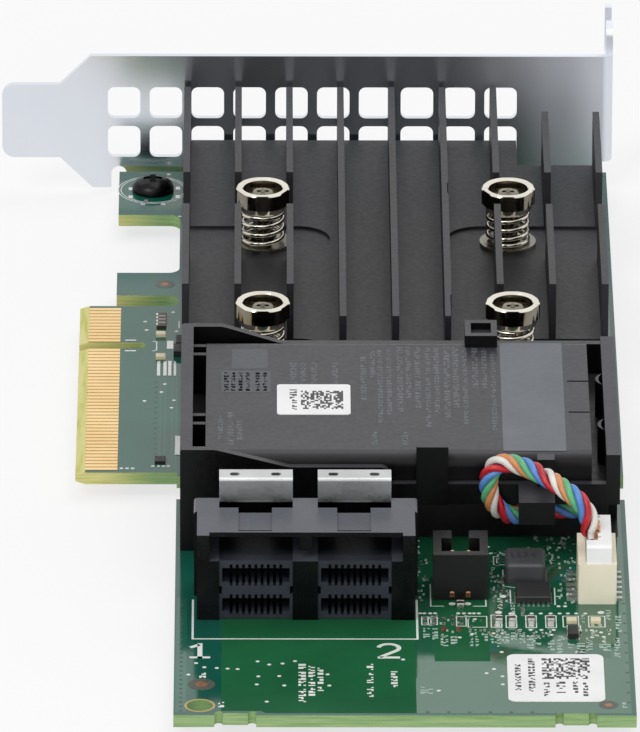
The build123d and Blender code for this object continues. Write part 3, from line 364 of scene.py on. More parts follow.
class Layer(Mesh):
    """Flat shapes printed, plated or etched on a level face, each a thin closed prism."""

    def __init__(self, low, high):
        super().__init__()
        self.low, self.high = low, high

    def patch(self, corners, kind=0):
        self.prism(corners, self.low, self.high, kind)

    def rect(self, x0, x1, y0, y1, kind=0):
        self.patch([(x0, y0), (x1, y0), (x1, y1), (x0, y1)], kind)

    def disc(self, x, y, radius, sides=16, kind=0):
        turns = [2 * math.pi * n / sides for n in range(sides)]
        self.patch([(x + radius * math.cos(t), y + radius * math.sin(t)) for t in turns], kind)

    def ring(self, x, y, inner, outer, sides=40, kind=0):
        points, faces = [], []
        for z in (self.low, self.high):
            for radius in (inner, outer):
                for n in range(sides):
                    t = 2 * math.pi * n / sides
                    points.append((x + radius * math.cos(t), y + radius * math.sin(t), z))
        for n in range(sides):
            m = (n + 1) % sides
            a, b, c, d = n, sides + n, 2 * sides + n, 3 * sides + n
            p, q, r, s = m, sides + m, 2 * sides + m, 3 * sides + m
            faces += [(c, d, s, r), (a, p, q, b), (b, q, s, d), (p, a, c, r)]
        self.extend(points, faces, kind)

    def line(self, path, width, kind=0):
        """A stroke of even width along points, with mitred corners."""
        left, right = [], []
        path = [Vector(p) for p in path]
        for n, here in enumerate(path):
            before = (here - path[n - 1]).normalized() if n else None
            after = (path[n + 1] - here).normalized() if n + 1 < len(path) else None
            along = ((before or after) + (after or before)).normalized()
            reach = width / 2 / max(along.dot(before or after), 0.3)
            side = Vector((-along.y, along.x)) * reach
            left.append(here + side)
            right.append(here - side)
        self.patch([tuple(p) for p in right + left[::-1]], kind)

    def frame(self, x0, x1, y0, y1, width, kind=0):
        """The outline of a rectangle."""
        self.rect(x0, x1, y0, y0 + width, kind)
        self.rect(x0, x1, y1 - width, y1, kind)
        self.rect(x0, x0 + width, y0 + width, y1 - width, kind)
        self.rect(x1 - width, x1, y0 + width, y1 - width, kind)


# Places that the finish shares with the card's construction, in millimetres

washer_high = node_box("heatsink_washers")[1]
spring_high = node_box("heatsink_springs")[1]
screw_low, screw_high = node_box("heatsink_screws")
port_low = node_box("port_housing")[0]
bevel_length = 1.2
# Height below which the port cover plates carry painted shade
painted_shade_to = 11.1
screw_x = (23.2, 54.5)
screw_y = (23.2, -13.7)
screw_places = [(x, y) for x in screw_x for y in screw_y]
bracket_screws = ((8.97, 50.68), (61.5, 52.1))
corner_hole = (15.7, -108.1)

# Materials

black_plastic_index = 1.35
mask = board_mask()
copper_mask = coated("mask_over_copper", "1B593F", "206045")
# Painted shade: a duller, darker mask where the board mirrors the dark ports and header
shaded_mask = coated("mask_painted_shade_before_ports", "1B5535", "21603D", rough=(0.16, 0.24), index=1.07)
# Painted shadow: near-black mask on the board under the tray
painted_shadow_mask = coated("mask_painted_shadow_below_tray", "0A100E", "0E1512", rough=(0.3, 0.4), index=1.3)
fine_silk = moulded("fine_silk", "93AA9E", "ABBDB2", rough=(0.4, 0.5), grain=3000, depth=3e-6)
trace_mask = coated("mask_over_traces", "1C5C4A", "216452", index=1.6)
silk = moulded("silk_print", "D2D6D0", "E6E9E4", rough=(0.4, 0.5), grain=3000, depth=3e-6)
tin = metal("tinned_pads", "C9CAC6", "E2E3E0", rough=(0.22, 0.36), scale=2500, depth=4e-6)
dark_via = moulded("tented_holes", "0C2B22", "15392E", rough=(0.2, 0.3), depth=2e-6)
bare_copper = metal("bare_copper", "9A6A50", "AC7A5C", rough=(0.25, 0.4), scale=2000)
laminate_tan = moulded("bare_laminate", "A8925F", "B8A26E", rough=(0.4, 0.5), depth=3e-6)
clearing = moulded("fiducial_clearing", "3B4238", "464C40", rough=(0.25, 0.35), depth=2e-6)
gold = metal("gold_plate", "F1CA89", "FDDCA2", rough=(0.24, 0.36), streak=(0.3, 8, 8), scale=700)
steel = bracket_steel()
nickel = metal("nickel_plate", "D8D2C4", "ECE7DA", rough=(0.08, 0.16), scale=1500, depth=1e-6)
shaded_nickel = metal("shaded_nickel", "6E685C", "8A8476", rough=(0.12, 0.22), scale=1500, depth=1e-6)
spring_wire = metal("spring_wire", "BDB8AA", "D8D3C6", rough=(0.12, 0.22), scale=1800, depth=1e-6)
washer_steel = metal("washer_steel", "8E8C82", "A8A69A", rough=(0.25, 0.38), scale=1200)
black_screw = metal("black_oxide", "1A1A1B", "2A2A2B", rough=(0.25, 0.38), scale=1500)
black_sink = anodised()
resin = moulded("chip_resin", "141415", "1D1D1F", rough=(0.4, 0.55), grain=3200)
gap_pad = moulded("gap_pad", "6C7C88", "7D8C97", rough=(0.6, 0.75), grain=1500)
# Painted shade on the tray's sides; its upper faces are lighter
tray = lit_top_shaded_sides("tray_plastic", "08080A", "313134", "3A3A3E", rough=(0.3, 0.42))
label = moulded("label_paper", "E6E6E6", "F1F1F1", rough=(0.5, 0.62), grain=2600)
print_ink = moulded("label_print", "2A2A2C", "3C3C3E", rough=(0.45, 0.55), grain=3000)
# Painted shade on the port's fronts and sides; its upper faces are lighter
port = lit_top_shaded_sides("port_plastic", "050507", "474A52", "4D5059", rough=(0.2, 0.28), grain=1500, depth=2e-6)
comb = comb_resin()
contact = metal("port_contacts", "2C2C30", "4A4A4E", rough=(0.3, 0.42), scale=2500)
cover = cover_sheet()
header = moulded("header_plastic", "08080A", "0E0E11", rough=(0.34, 0.46))
ferrite = moulded("pressed_ferrite", "3A3B3D", "4A4B4D", rough=(0.42, 0.6), grain=1700, depth=1.2e-5)
nylon = moulded("white_nylon", "E8E8E8", "F4F4F4", rough=(0.3, 0.42), grain=1800, depth=4e-6)
cream = moulded("cream_nylon", "E4DAC0", "EFE7D2", rough=(0.38, 0.5), grain=1800, depth=5e-6)
tan = moulded("fired_ceramic", "3A2C22", "4C3A2C", rough=(0.3, 0.45), grain=2800)
pale_chip = moulded("pale_ceramic", "D8CBA6", "E6DCC0", rough=(0.3, 0.45), grain=2800)
# Painted shade on the pack's sides; its upper face is lighter
wrap = lit_top_shaded_sides(
    "pack_wrap", "08080A", "343437", "3B3B40", rough=(0.32, 0.42), grain=1300, turn=(0.62, 0.96),
)
panel_film = moulded("panel_film", "2E3137", "363A41", rough=(0.3, 0.38), grain=1300, depth=4e-6)
faint_ink = moulded("faint_ink", "4E5156", "5B5E64", rough=(0.4, 0.5), grain=1300, depth=3e-6)
band_film = moulded("band_film", "4A4F57", "565B63", rough=(0.3, 0.38), grain=1300, depth=4e-6)
nut_steel = metal("nut_steel", "A09F9B", "BDBCB8", rough=(0.24, 0.36), scale=1000)

finishes = {
    "circuit_board": mask, "edge_contacts": gold, "bracket": steel, "heatsink": black_sink,
    "heatsink_washers": washer_steel, "board_nuts": nut_steel, "controller_chip": resin,
    "controller_thermal_pad": gap_pad, "memory_chips": resin, "memory_thermal_pads": gap_pad,
    "battery_pack": wrap, "battery_code_label": label, "battery_tray": tray, "battery_plug": nylon,
    "battery_socket": cream, "battery_socket_leads": tin, "port_housing": port,
    "port_1_contact_block": comb, "port_2_contact_block": comb, "port_1_contacts": contact,
    "port_2_contacts": contact, "port_1_cover_plate": cover, "port_2_cover_plate": cover,
    "jumper_header": header, "jumper_pins": gold, "power_inductor": ferrite, "regulator_chip": resin,
    "regulator_leads": tin, "chip_capacitors": tan, "chip_resistors": pale_chip,
    "resistor_array": tan, "small_transistor": resin, "logic_chip": resin, "side_chips": resin,
    "side_label": label, "board_label": label,
}
for name, material in finishes.items():
    obj = nodes[name]
    obj.data.materials.clear()
    obj.data.materials.append(material)


# Spring screws and their springs

spring_radius = 2.55
wire_radius = 0.3
spring_turns = 4.0
turn_steps = 36
closed_share = 0.12


def coil_points(x, y, low, high, turns, radius, start):
    """Points of a compression spring that climbs slowly along the closed share at either end."""
    steps = int(turns * turn_steps)
    points = []
    for n in range(steps + 1):
        share = n / steps
        rise = min(max((share - closed_share) / (1 - 2 * closed_share), 0.0), 1.0)
        slope = share * closed_share + rise * (1 - closed_share)
        turn = start + 2 * math.pi * turns * share
        height = low + (high - low) * slope
        points.append((x + radius * math.cos(turn), y + radius * math.sin(turn), height))
    return points


coils = Mesh()
for number, (x, y) in enumerate(screw_places):
    low = washer_high.z + wire_radius
    high = spring_high.z - wire_radius
    points = coil_points(x, y, low, high, spring_turns, spring_radius, 0.9 + number * 1.3)
    coils.tube(points, wire_radius, 12)
springs = coils.piece("spring_coils", [spring_wire], "spring_steel", smooth=50)
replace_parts(springs, "heatsink_springs")


def loose(name, data):
    """A helper object that is gone again before the end."""
    obj = bpy.data.objects.new(name, data)
    bpy.context.scene.collection.objects.link(obj)
    return obj


def plus_outline(width, length):
    """The twelve corners of a plus sign, anticlockwise."""
    a, b = width / 2, length / 2
    upper = [(a, a), (a, b), (-a, b), (-a, a), (-b, a)]
    lower = [(-b, -a), (-a, -a), (-a, -b), (a, -b), (a, -a), (b, -a)]
    return [*upper, *lower, (b, a)]


def driven_head(profile, floor, mouth, width, length, narrowing, sides=72, flat=None):
    """A turned head with a four-armed driver recess, as points about its own axis and faces."""
    blank = Mesh()
    blank.lathe(profile, 0, 0, sides, flat)
    recess = Mesh()
    corners = [(x, y, floor) for x, y in plus_outline(width, length * narrowing)]
    corners += [(x, y, mouth) for x, y in plus_outline(width, length)]
    count = len(corners) // 2
    walls = [(n, (n + 1) % count, count + (n + 1) % count, count + n) for n in range(count)]
    recess.extend(corners, [tuple(reversed(range(count))), tuple(range(count, 2 * count)), *walls])
    head = loose("blank", blank.data("blank"))
    cutter = loose("recess", recess.data("recess"))
    modifier = head.modifiers.new("cut", "BOOLEAN")
    modifier.operation = "DIFFERENCE"
    modifier.solver = "EXACT"
    modifier.object = cutter
    bpy.context.view_layer.update()
    graph = bpy.context.evaluated_depsgraph_get()
    data = bpy.data.meshes.new_from_object(head.evaluated_get(graph))
    points = [v.co / MM for v in data.vertices]
    faces = [tuple(p.vertices) for p in data.polygons]
    bpy.data.objects.remove(head)
    bpy.data.objects.remove(cutter)
    return points, faces


def screw_set(name, places, head, materials, slot, replaced, inner=0.0, outer=math.inf, brim=0.0):
    """The same screw at each place, as one piece.

    Below the brim, what lies within the inner radius or past the outer one takes the second material."""
    points, faces = head
    screws = Mesh()
    for x, y in places:
        screws.extend([(x + p.x, y + p.y, p.z) for p in points], faces)
        for n, face in enumerate(faces, len(screws.kinds) - len(faces)):
            middle = sum((points[p] for p in face), Vector()) / len(face)
            reach = math.hypot(middle.x, middle.y)
            screws.kinds[n] = int(middle.z < brim and not inner <= reach <= outer)
    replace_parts(screws.piece(name, materials, slot, smooth=32), replaced)


top = screw_high.z
cup_profile = [
    (1.25, screw_low.z), (1.25, top - 3.0), (2.8, top - 3.0), (2.9, top - 2.9), (3.2, top - 2.12),
    (3.4, top - 2.02), (3.4, top - 0.14), (3.26, top), (2.66, top), (2.5, top - 0.15), (2.42, top - 1.4),
    (1.75, top - 1.45), (1.6, top - 1.35), (1.45, top - 0.75), (1.25, top - 0.6), (0.5, top - 0.55),
    (0.02, top - 0.55),
]
cup_head = driven_head(cup_profile, top - 1.3, top + 0.2, 0.55, 2.1, 0.45, flat=3.21)
screw_set(
    "spring_screws", screw_places, cup_head, [nickel, shaded_nickel], "screw_nickel", "heatsink_screws",
    inner=2.52, outer=3.15, brim=top - 0.2,
)

# Screws that hold the bracket

dome = [(2.7 * math.cos(t), 0.35 + 1.5 * math.sin(t)) for t in [math.pi / 2 * n / 9 for n in range(9)]]
pan_profile = [(1.45, -2.4), (1.45, 0.0), (2.68, 0.02), *dome, (0.02, 1.86)]
pan_head = driven_head(pan_profile, 0.6, 2.2, 0.75, 3.0, 0.45, sides=48)
screw_set("bracket_pan_screws", bracket_screws, pan_head, [black_screw], "screw_black", "bracket_screws")

# Battery lead: six twisted wires along the route

lead_route = [
    (62.0, -59.8, 4.2), (59.0, -59.8, 4.2), (56.0, -61.2, 4.5), (53.2, -63.6, 4.8), (51.0, -64.9, 7.4),
    (50.6, -65.2, 10.8), (51.6, -65.4, 12.8), (54.0, -65.9, 13.0), (57.0, -68.0, 12.5), (59.3, -70.8, 12.2),
    (61.5, -73.1, 11.4), (62.8, -73.9, 9.8), (63.0, -73.7, 7.7),
]
strand_radius = 0.44
bundle_radius = 0.76
twist_pitch = 8.0
twist_start = 0.4


def smooth_route(route):
    """Points of the smooth curve that the route's points control, in millimetres."""
    curve = bpy.data.curves.new("route", "CURVE")
    curve.dimensions = "3D"
    spline = curve.splines.new("NURBS")
    spline.points.add(len(route) - 1)
    for point, place in zip(spline.points, route):
        point.co = (*(Vector(place) * MM), 1.0)
    spline.order_u = 3
    spline.use_endpoint_u = True
    spline.resolution_u = 12
    obj = loose("route", curve)
    bpy.context.view_layer.update()
    graph = bpy.context.evaluated_depsgraph_get()
    line = bpy.data.meshes.new_from_object(obj.evaluated_get(graph))
    points = [v.co / MM for v in line.vertices]
    bpy.data.objects.remove(obj)
    bpy.data.meshes.remove(line)
    return points


def insulated(name, dark, light):
    """A wire's insulation: glossy, with a faint length of stain."""
    return moulded(name, dark, light, rough=(0.26, 0.36), grain=1500, depth=3e-6, patch=400)


wire_finishes = [
    insulated("wire_green", "4F9E6C", "66B884"), insulated("wire_orange", "C47A4A", "D8925F"),
    insulated("wire_white", "D0CEC8", "E2E0DA"), insulated("wire_red", "A81620", "C4212C"),
    insulated("wire_blue", "4A7AC0", "6292D4"), insulated("wire_black", "141416", "1E1E20"),
]

# Five wires lie round the sixth, at these turns about the bundle's middle
around = [math.radians(a) for a in (0, 62, 124, 216, 284)]
centre_line = smooth_route(lead_route)
lead = Mesh()
strand_ends = []
for number in range(len(wire_finishes)):
    across = None
    travelled = 0.0
    strand = []
    for n, here in enumerate(centre_line):
        ahead = centre_line[min(n + 1, len(centre_line) - 1)]
        behind = centre_line[max(n - 1, 0)]
        along = (ahead - behind).normalized()
        if n:
            travelled += (here - centre_line[n - 1]).length
        if across is None:
            across = along.orthogonal().normalized()
        across = (across - along * across.dot(along)).normalized()
        other = along.cross(across)
        turn = twist_start + 2 * math.pi * travelled / twist_pitch
        turn += around[number] if number < len(around) else 0.0
        reach = bundle_radius if number < len(around) else 0.0
        strand.append(here + reach * (math.cos(turn) * across + math.sin(turn) * other))
    lead.tube(strand, strand_radius, 12, kind=number)
    strand_ends.append(strand[-1])
wires = lead.piece("battery_lead_wires", wire_finishes, "lead_wires", smooth=60)
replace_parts(wires, "battery_lead")

# The wires' ends, each on a curve from the bundle down into its own slot of the plug

tails = Mesh()
tail_steps = 12
tail_turn_height = 6.9
slot_mouth = 62.9
slot_depth = 64.05
slot_height = 6.5
slot_rows = (-69.9, -71.4, -72.9, -74.4, -75.4, -75.9)
tail_order = sorted(range(len(around)), key=lambda n: -strand_ends[n].y)
for number, end in enumerate([*tail_order, len(around)]):
    here = strand_ends[end]
    row = slot_rows[number]
    below = Vector((here.x, here.y, tail_turn_height))
    bends = [here, below, Vector((slot_mouth, row, slot_height)), Vector((slot_depth, row, slot_height))]
    path = []
    for step in range(tail_steps + 1):
        t = step / tail_steps
        weights = ((1 - t) ** 3, 3 * t * (1 - t) ** 2, 3 * t * t * (1 - t), t ** 3)
        path.append(sum((w * b for w, b in zip(weights, bends)), Vector()))
    tails.tube(path, strand_radius * 0.95, 12, kind=end)
tail_piece = tails.piece("battery_lead_tails", wire_finishes, "lead_wires", smooth=60)


# Flat finish on the board: how far each layer stands above it or reaches into it

film = 0.012
sunk = -0.01


def speckle(layer, x, y, columns, rows, fill, kind=0, skip=0):
    """Generic print: a grid of cells between two limits on each axis, filled at random.

    With skip, each such row stays empty, which parts the rest into short blocks."""
    wide = (x[1] - x[0]) / columns
    tall = (y[1] - y[0]) / rows
    for row in range(rows):
        if skip and row % skip == skip - 1:
            continue
        for column in range(columns):
            if random.random() < fill:
                left, low = x[0] + column * wide, y[0] + row * tall
                layer.rect(left, left + wide, low, low + tall, kind)


def word(layer, left, right, low, high, kind=0):
    """A printed word that reads along Y, as generic blocks."""
    speckle(layer, (left, right), (low, high), 3, max(2, round((high - low) / 0.28)), 0.62, kind, skip=3)


# Copper under the mask: glossy; before the ports and the header a duller, darker patch is painted shade for
# their dark reflection; the near black below the tray is painted shadow

fill_left, fill_right, fill_front, fill_back = 18.25, 67.25, -110.2, 56.2
ports_right, ports_back = 41.6, -79.0
header_left, header_right, header_shade_front = 43.9, 50.6, -95.4
tray_right, tray_front, tray_back = 66.8, -58.8, -24.2
cut_front, cut_start, cut_end = -109.6, 23.0, 23.6
copper = Layer(sunk, 0.008)
copper.rect(ports_right, fill_right, fill_front, header_shade_front)
copper.rect(ports_right, header_left, header_shade_front, tray_front)
copper.rect(header_left, header_right, header_shade_front, tray_front, kind=1)
copper.rect(header_right, fill_right, header_shade_front, tray_front)
copper.rect(fill_left, ports_right, ports_back, tray_front)
# Painted shadow under the tray
copper.rect(fill_left, tray_right, tray_front, tray_back, kind=2)
copper.rect(tray_right, fill_right, tray_front, tray_back)
copper.rect(fill_left, fill_right, tray_back, fill_back)
before_ports = [
    (fill_left, cut_front), (cut_start, cut_front), (cut_end, fill_front), (ports_right, fill_front),
    (ports_right, ports_back), (fill_left, ports_back),
]
# Painted shade before the ports
copper.patch(before_ports, kind=1)
copper.piece("copper_fill", [copper_mask, shaded_mask, painted_shadow_mask], "board_green")

# Bare laminate between the fingers, either side of the key notch, and round the corner hole

contact_low, contact_high = node_box("edge_contacts")
contact_start = contact_low.x + 0.05
notch_clear = 1.1
laminate = Layer(0.0, film)
laminate.rect(contact_start, contact_high.x, contact_low.y, -notch_clear)
laminate.rect(contact_start, contact_high.x, notch_clear, contact_high.y)
laminate.ring(*corner_hole, 1.56, 1.86)
laminate.piece("finger_laminate", [laminate_tan], "board_green")

# Ground strip along the left edge, and the traces behind the fingers

trace_width = 0.1
strip = Layer(sunk, 0.006)
strip.rect(12.75, 14.05, -110.0, -77.0)
for edge in (10.4, 11.0, 11.9, 12.4):
    strip.line([(edge, -36.4), (edge, -10.5)], trace_width)
strip.piece("edge_traces", [trace_mask], "board_green")

# Rows of tented holes: first place, step, how many, radius and sides

hole_rows = (
    (13.4, -77.9, 0.0, -1.27, 26, 0.2, 10), (42.9, -109.9, 2.5, 0.0, 6, 0.22, 10),
    (67.0, -78.6, 0.0, -2.85, 11, 0.2, 10), (9.8, -11.5, 0.0, -1.6, 16, 0.16, 8),
)
holes = Layer(0.0, film)
for x, y, step_x, step_y, count, radius, sides in hole_rows:
    for n in range(count):
        holes.disc(x + step_x * n, y + step_y * n, radius, sides)
holes.piece("tented_holes", [dark_via], "board_green")

# Fiducials: place, radius of the copper and of the clearing round it

fiducials = Layer(0.0, 0.016)
fiducial_places = ((15.87, -102.1, 0.75, 1.65), (64.55, -107.8, 0.45, 1.2), (10.7, 19.7, 0.5, 1.3))
for x, y, inner, outer in fiducial_places:
    fiducials.disc(x, y, inner, 28, kind=0)
    fiducials.ring(x, y, inner, outer, kind=1)
fiducials.piece("fiducials", [bare_copper, clearing], "board_green")

# White print on the board

silk_high = 0.02
silk_line = 0.16
port_line = 0.26
ring_line = 0.12
print_layer = Layer(0.0, silk_high)
print_layer.line([(14.75, -77.6), (14.75, -89.0), (41.9, -89.0), (41.9, -77.6)], port_line)
for radius in (4.15, 4.5):
    print_layer.ring(*bracket_screws[0], radius - ring_line / 2, radius + ring_line / 2, 72)

# Plain port numerals: a one with a flag and a foot, and a two whose bow runs down to its foot
numeral_foot = -94.6
numeral_height = 4.3
numeral_stroke = 0.6
thin_stroke = 0.55
print_layer.rect(15.35, 15.35 + numeral_stroke, numeral_foot, numeral_foot + numeral_height)
print_layer.line([(15.6, -90.7), (14.5, -91.5)], thin_stroke)
print_layer.rect(14.4, 16.9, numeral_foot, -94.1)
bow_x, bow_y, bow_wide, bow_tall = 38.4, -91.6, 1.25, 1.15
bow_turns = [math.pi * (0.95 - 1.15 * n / 12) for n in range(13)]
bow = [(bow_x + bow_wide * math.cos(t), bow_y + bow_tall * math.sin(t)) for t in bow_turns]
print_layer.line([*bow, (37.3, -94.25)], thin_stroke)
print_layer.rect(37.05, 39.75, numeral_foot, -94.05)

# Frames round the small parts: left, right, front and back edges
for left, right, front, back in (
    (50.8, 52.2, -85.6, -81.9), (52.6, 54.0, -85.7, -82.1), (55.0, 56.4, -85.7, -82.1),
    (57.4, 58.8, -85.7, -82.1), (59.5, 61.5, -85.5, -82.2), (62.6, 64.7, -85.5, -82.2),
    (46.6, 47.9, -85.3, -82.4), (42.4, 43.3, -84.9, -82.5), (43.5, 44.4, -84.9, -82.5),
    (48.0, 50.4, -85.6, -82.3), (60.0, 61.7, -87.9, -84.9),
):
    print_layer.frame(left, right, front, back, 0.14)

# Printed words, finer past the ports: left, right, front and back edges
board_words = [
    (27.5, 28.4, -97.6, -96.2), (27.5, 28.4, -102.5, -98.2), (27.5, 28.4, -107.1, -103.4),
    (28.7, 29.5, -100.8, -96.8), (28.7, 29.5, -105.3, -101.4), (29.8, 30.5, -99.3, -97.3),
    (29.8, 30.5, -101.9, -99.9), (29.8, 30.5, -104.2, -102.5), (35.7, 36.5, -98.2, -96.2),
    (35.7, 36.5, -101.9, -98.8), (35.7, 36.5, -105.6, -102.8), (38.6, 39.4, -102.8, -98.3),
    (15.6, 16.4, -100.2, -98.5), (17.9, 18.6, -108.6, -107.1), (42.6, 43.4, -88.6, -85.8),
    (43.7, 44.4, -89.1, -85.6), (44.7, 45.6, -91.0, -87.9), (45.9, 46.7, -90.4, -87.9),
    (48.2, 48.6, -91.0, -87.5), (48.9, 49.3, -91.0, -88.1), (50.0, 50.4, -89.5, -87.5),
    (50.7, 51.1, -89.2, -87.5), (51.2, 52.0, -91.2, -88.0), (52.3, 53.0, -90.4, -87.2),
    (53.2, 53.9, -89.2, -86.8), (54.2, 54.9, -90.1, -87.0), (55.1, 55.9, -91.8, -87.8),
    (56.1, 56.8, -90.6, -88.0), (57.6, 58.4, -92.2, -88.9), (58.7, 59.4, -93.8, -88.9),
    (60.0, 60.8, -91.6, -89.5), (61.1, 62.1, -92.9, -90.1), (62.2, 63.0, -92.3, -89.2),
    (63.8, 65.2, -92.3, -90.4), (65.6, 66.3, -94.2, -88.6), (65.9, 66.6, -86.8, -81.6),
    (64.8, 65.4, -83.3, -80.5), (61.8, 62.2, -84.2, -81.6), (42.1, 43.6, -104.7, -102.7),
    (51.7, 52.3, -80.2, -77.0), (53.3, 53.8, -81.3, -78.4), (66.2, 66.8, -108.6, -106.8),
]
for left, right, front, back in board_words:
    word(print_layer, left, right, front, back, kind=int(left > ports_right))

# Outlines round the header, the regulator and the parts beside them
for path in (
    [(43.6, -72.9), (43.6, -79.4), (45.2, -79.4)], [(50.3, -72.9), (50.3, -79.4), (48.7, -79.4)],
    [(51.8, -67.2), (52.9, -67.2)], [(52.5, -68.7), (52.5, -73.5), (54.1, -74.0)],
    [(53.3, -74.6), (53.3, -78.7)],
    [(58.7, -74.0), (58.7, -79.0)], [(58.7, -76.5), (59.6, -76.5)], [(12.6, 5.6), (12.6, 7.8)],
    [(9.3, 1.4), (9.8, 1.1), (9.8, -1.5), (9.3, -1.8)],
):
    print_layer.line(path, silk_line)
print_layer.frame(51.35, 51.85, -67.2, -64.7, 0.12)

# Test points and small holes with white rims
test_points = [
    (15.2, -96.0), (16.2, -97.2), (17.7, -97.4), (19.0, -97.6), (20.2, -97.7), (14.3, -99.3),
    (22.6, -95.5), (24.0, -96.4), (25.6, -96.1), (27.1, -95.4), (22.7, -99.8), (25.2, -99.7),
    (22.5, -102.1), (25.8, -102.4), (23.7, -107.0), (31.0, -99.2), (31.2, -102.4), (40.1, -94.9),
    (51.0, -97.6), (50.1, -98.8), (52.0, -99.7), (52.0, -102.0), (44.3, -103.8), (54.3, -86.3),
    (55.6, -86.3), (56.9, -86.3), (58.4, -86.3), (58.1, -87.7), (52.2, -87.3), (51.1, -87.3),
    (48.5, -87.5), (47.0, -88.5), (64.1, -87.0), (65.1, -86.3), (63.0, -88.4), (64.4, -88.3),
    (63.0, -86.4), (64.4, -89.6), (66.0, -89.2), (62.5, -89.7), (61.1, -92.7), (52.0, -92.7),
    (59.1, -79.4), (59.9, -79.4), (42.2, -61.9), (42.2, -60.1), (58.3, -62.1), (59.5, -62.1),
    (59.9, -60.5), (60.0, -59.2), (51.3, -68.2), (51.1, -63.8), (50.8, -61.9), (48.9, -83.2),
    (47.8, -82.4), (8.3, 7.6), (8.5, 4.9), (11.8, 10.6), (12.3, 4.5), (10.9, -12.2), (10.5, -14.7),
    (12.1, -17.3), (11.8, -19.6), (8.4, -17.5), (9.6, -37.6), (10.3, -37.6), (10.9, -37.6),
    (11.5, -37.6), (5.7, -38.3), (6.4, -38.3), (7.1, -38.3), (11.0, 55.9), (12.5, 41.9),
]
for x in (42.3, 42.8, 43.5, 44.1, 46.9, 47.6, 48.3, 48.8, 49.4, 55.8, 56.9, 58.1, 59.2, 60.2, 61.2, 62.3):
    test_points.append((x, -81.5))
for x, y in test_points:
    print_layer.disc(x, y, 0.25, 12)
for x, y in ((51.8, -81.2), (53.4, -81.6), (64.2, -81.2), (52.4, -76.5), (46.2, -78.7), (48.1, -78.7)):
    print_layer.disc(x, y, 0.42, 16)

# Small light marks between the power parts: left, right, front and back limits, and how many
mark_x, mark_y = 0.13, 0.3
for left, right, front, back, count in (
    (51.0, 53.4, -78.5, -62.5, 26), (55.6, 61.6, -67.6, -58.9, 34), (59.2, 61.6, -78.5, -68.0, 24),
    (42.0, 43.3, -79.5, -62.0, 14), (43.4, 50.2, -88.5, -81.8, 18), (50.5, 66.4, -90.0, -86.2, 30),
):
    for n in range(count):
        x, y = random.uniform(left, right), random.uniform(front, back)
        print_layer.rect(x - mark_x, x + mark_x, y - mark_y, y + mark_y, kind=1)
print_layer.piece("silk_marks", [silk, fine_silk], "label_white")

# Tinned pads and part ends: left, right, front and back edges
pad_high = 0.05
pads = Layer(0.0, pad_high)
for left, right in ((51.2, 51.9), (53.0, 53.7), (55.4, 56.0), (57.7, 58.4)):
    pads.rect(left, right, -83.3, -82.5)
    pads.rect(left, right, -85.4, -84.7)
for left, right in ((44.9, 45.4), (46.0, 46.4), (46.9, 47.5), (42.6, 43.1), (43.7, 44.2)):
    pads.rect(left, right, -83.4, -82.6)
    pads.rect(left, right, -85.0, -84.1)
for left, right in ((48.1, 48.5), (48.8, 49.1), (49.4, 49.7), (49.9, 50.2), (60.0, 60.4), (61.4, 61.8)):
    pads.rect(left, right, -86.8, -86.1)
for place in (
    (62.9, 63.3, -85.3, -84.6), (63.8, 64.2, -85.3, -84.6), (59.8, 60.2, -89.2, -88.6),
    (61.0, 61.5, -89.2, -88.6), (53.75, 54.0, -78.5, -75.4), (58.05, 58.35, -78.5, -75.4),
    (54.5, 55.0, -82.2, -79.8), (52.2, 52.6, -72.5, -70.8), (57.6, 57.85, -72.5, -68.7),
    (11.1, 11.9, -1.1, 1.4), (5.8, 7.2, 1.4, 1.75), (5.8, 7.2, -1.95, -1.6),
):
    pads.rect(*place)
for left, right in ((9.9, 10.3), (10.7, 11.1), (11.3, 11.7), (12.0, 12.3)):
    pads.rect(left, right, -9.6, -5.0)
for x, y in ((6.1, 51.0), (6.1, 48.3), (7.7, 46.0), (8.1, 47.0), (10.3, 46.0), (12.2, 51.2), (12.2, 48.4)):
    pads.rect(x - 0.28, x + 0.28, y - 0.45, y + 0.45)
for x, y in ((51.8, -84.0), (53.4, -84.0), (55.7, -84.0), (58.1, -84.0), (47.2, -79.6)):
    for end in (-0.5, 0.5):
        pads.block((x - 0.43, x + 0.43), (y + end - 0.17, y + end + 0.17), (0, 0.73), ease=0.05)
for row in (-1.55, -0.52, 0.52, 1.55):
    pads.block((9.7, 9.92), (7.4 + row - 0.3, 7.4 + row + 0.3), (0, 0.47))
for row in (-1.03, 0.0, 1.03):
    pads.block((9.95, 10.9), (7.4 + row - 0.06, 7.4 + row + 0.06), (0.4, 0.465))

# Small loose pads: left, right, front and back limits, and how many
pad_x, pad_y = 0.14, 0.24
for left, right, front, back, count in (
    (51.0, 53.4, -78.5, -62.5, 34), (56.0, 61.4, -67.0, -58.5, 22), (42.0, 43.4, -78.0, -63.0, 12),
    (59.4, 61.4, -78.5, -68.0, 14), (43.5, 50.0, -85.5, -82.0, 12), (50.5, 66.0, -88.5, -86.6, 22),
):
    for n in range(count):
        x, y = random.uniform(left, right), random.uniform(front, back)
        pads.rect(x - pad_x, x + pad_x, y - pad_y, y + pad_y)
pads.piece("tinned_pads", [tin], "solder_metal")

# Bare copper pads, a little lower than the tinned ones
copper_pads = Layer(0.0, pad_high - 0.005)
copper_pads.rect(44.8, 45.4, -86.9, -85.4)
copper_pads.rect(46.6, 47.2, -86.9, -85.4)
for y in (-6.5, -20.5, -37.5):
    copper_pads.disc(1.8, y, 0.25, 12)
for x in (46.2, 48.15):
    copper_pads.block((x - 0.3, x + 0.3), (-77.95, -77.5), (0.55, 1.25), ease=0.15)
copper_pads.piece("copper_pads", [bare_copper], "board_green")

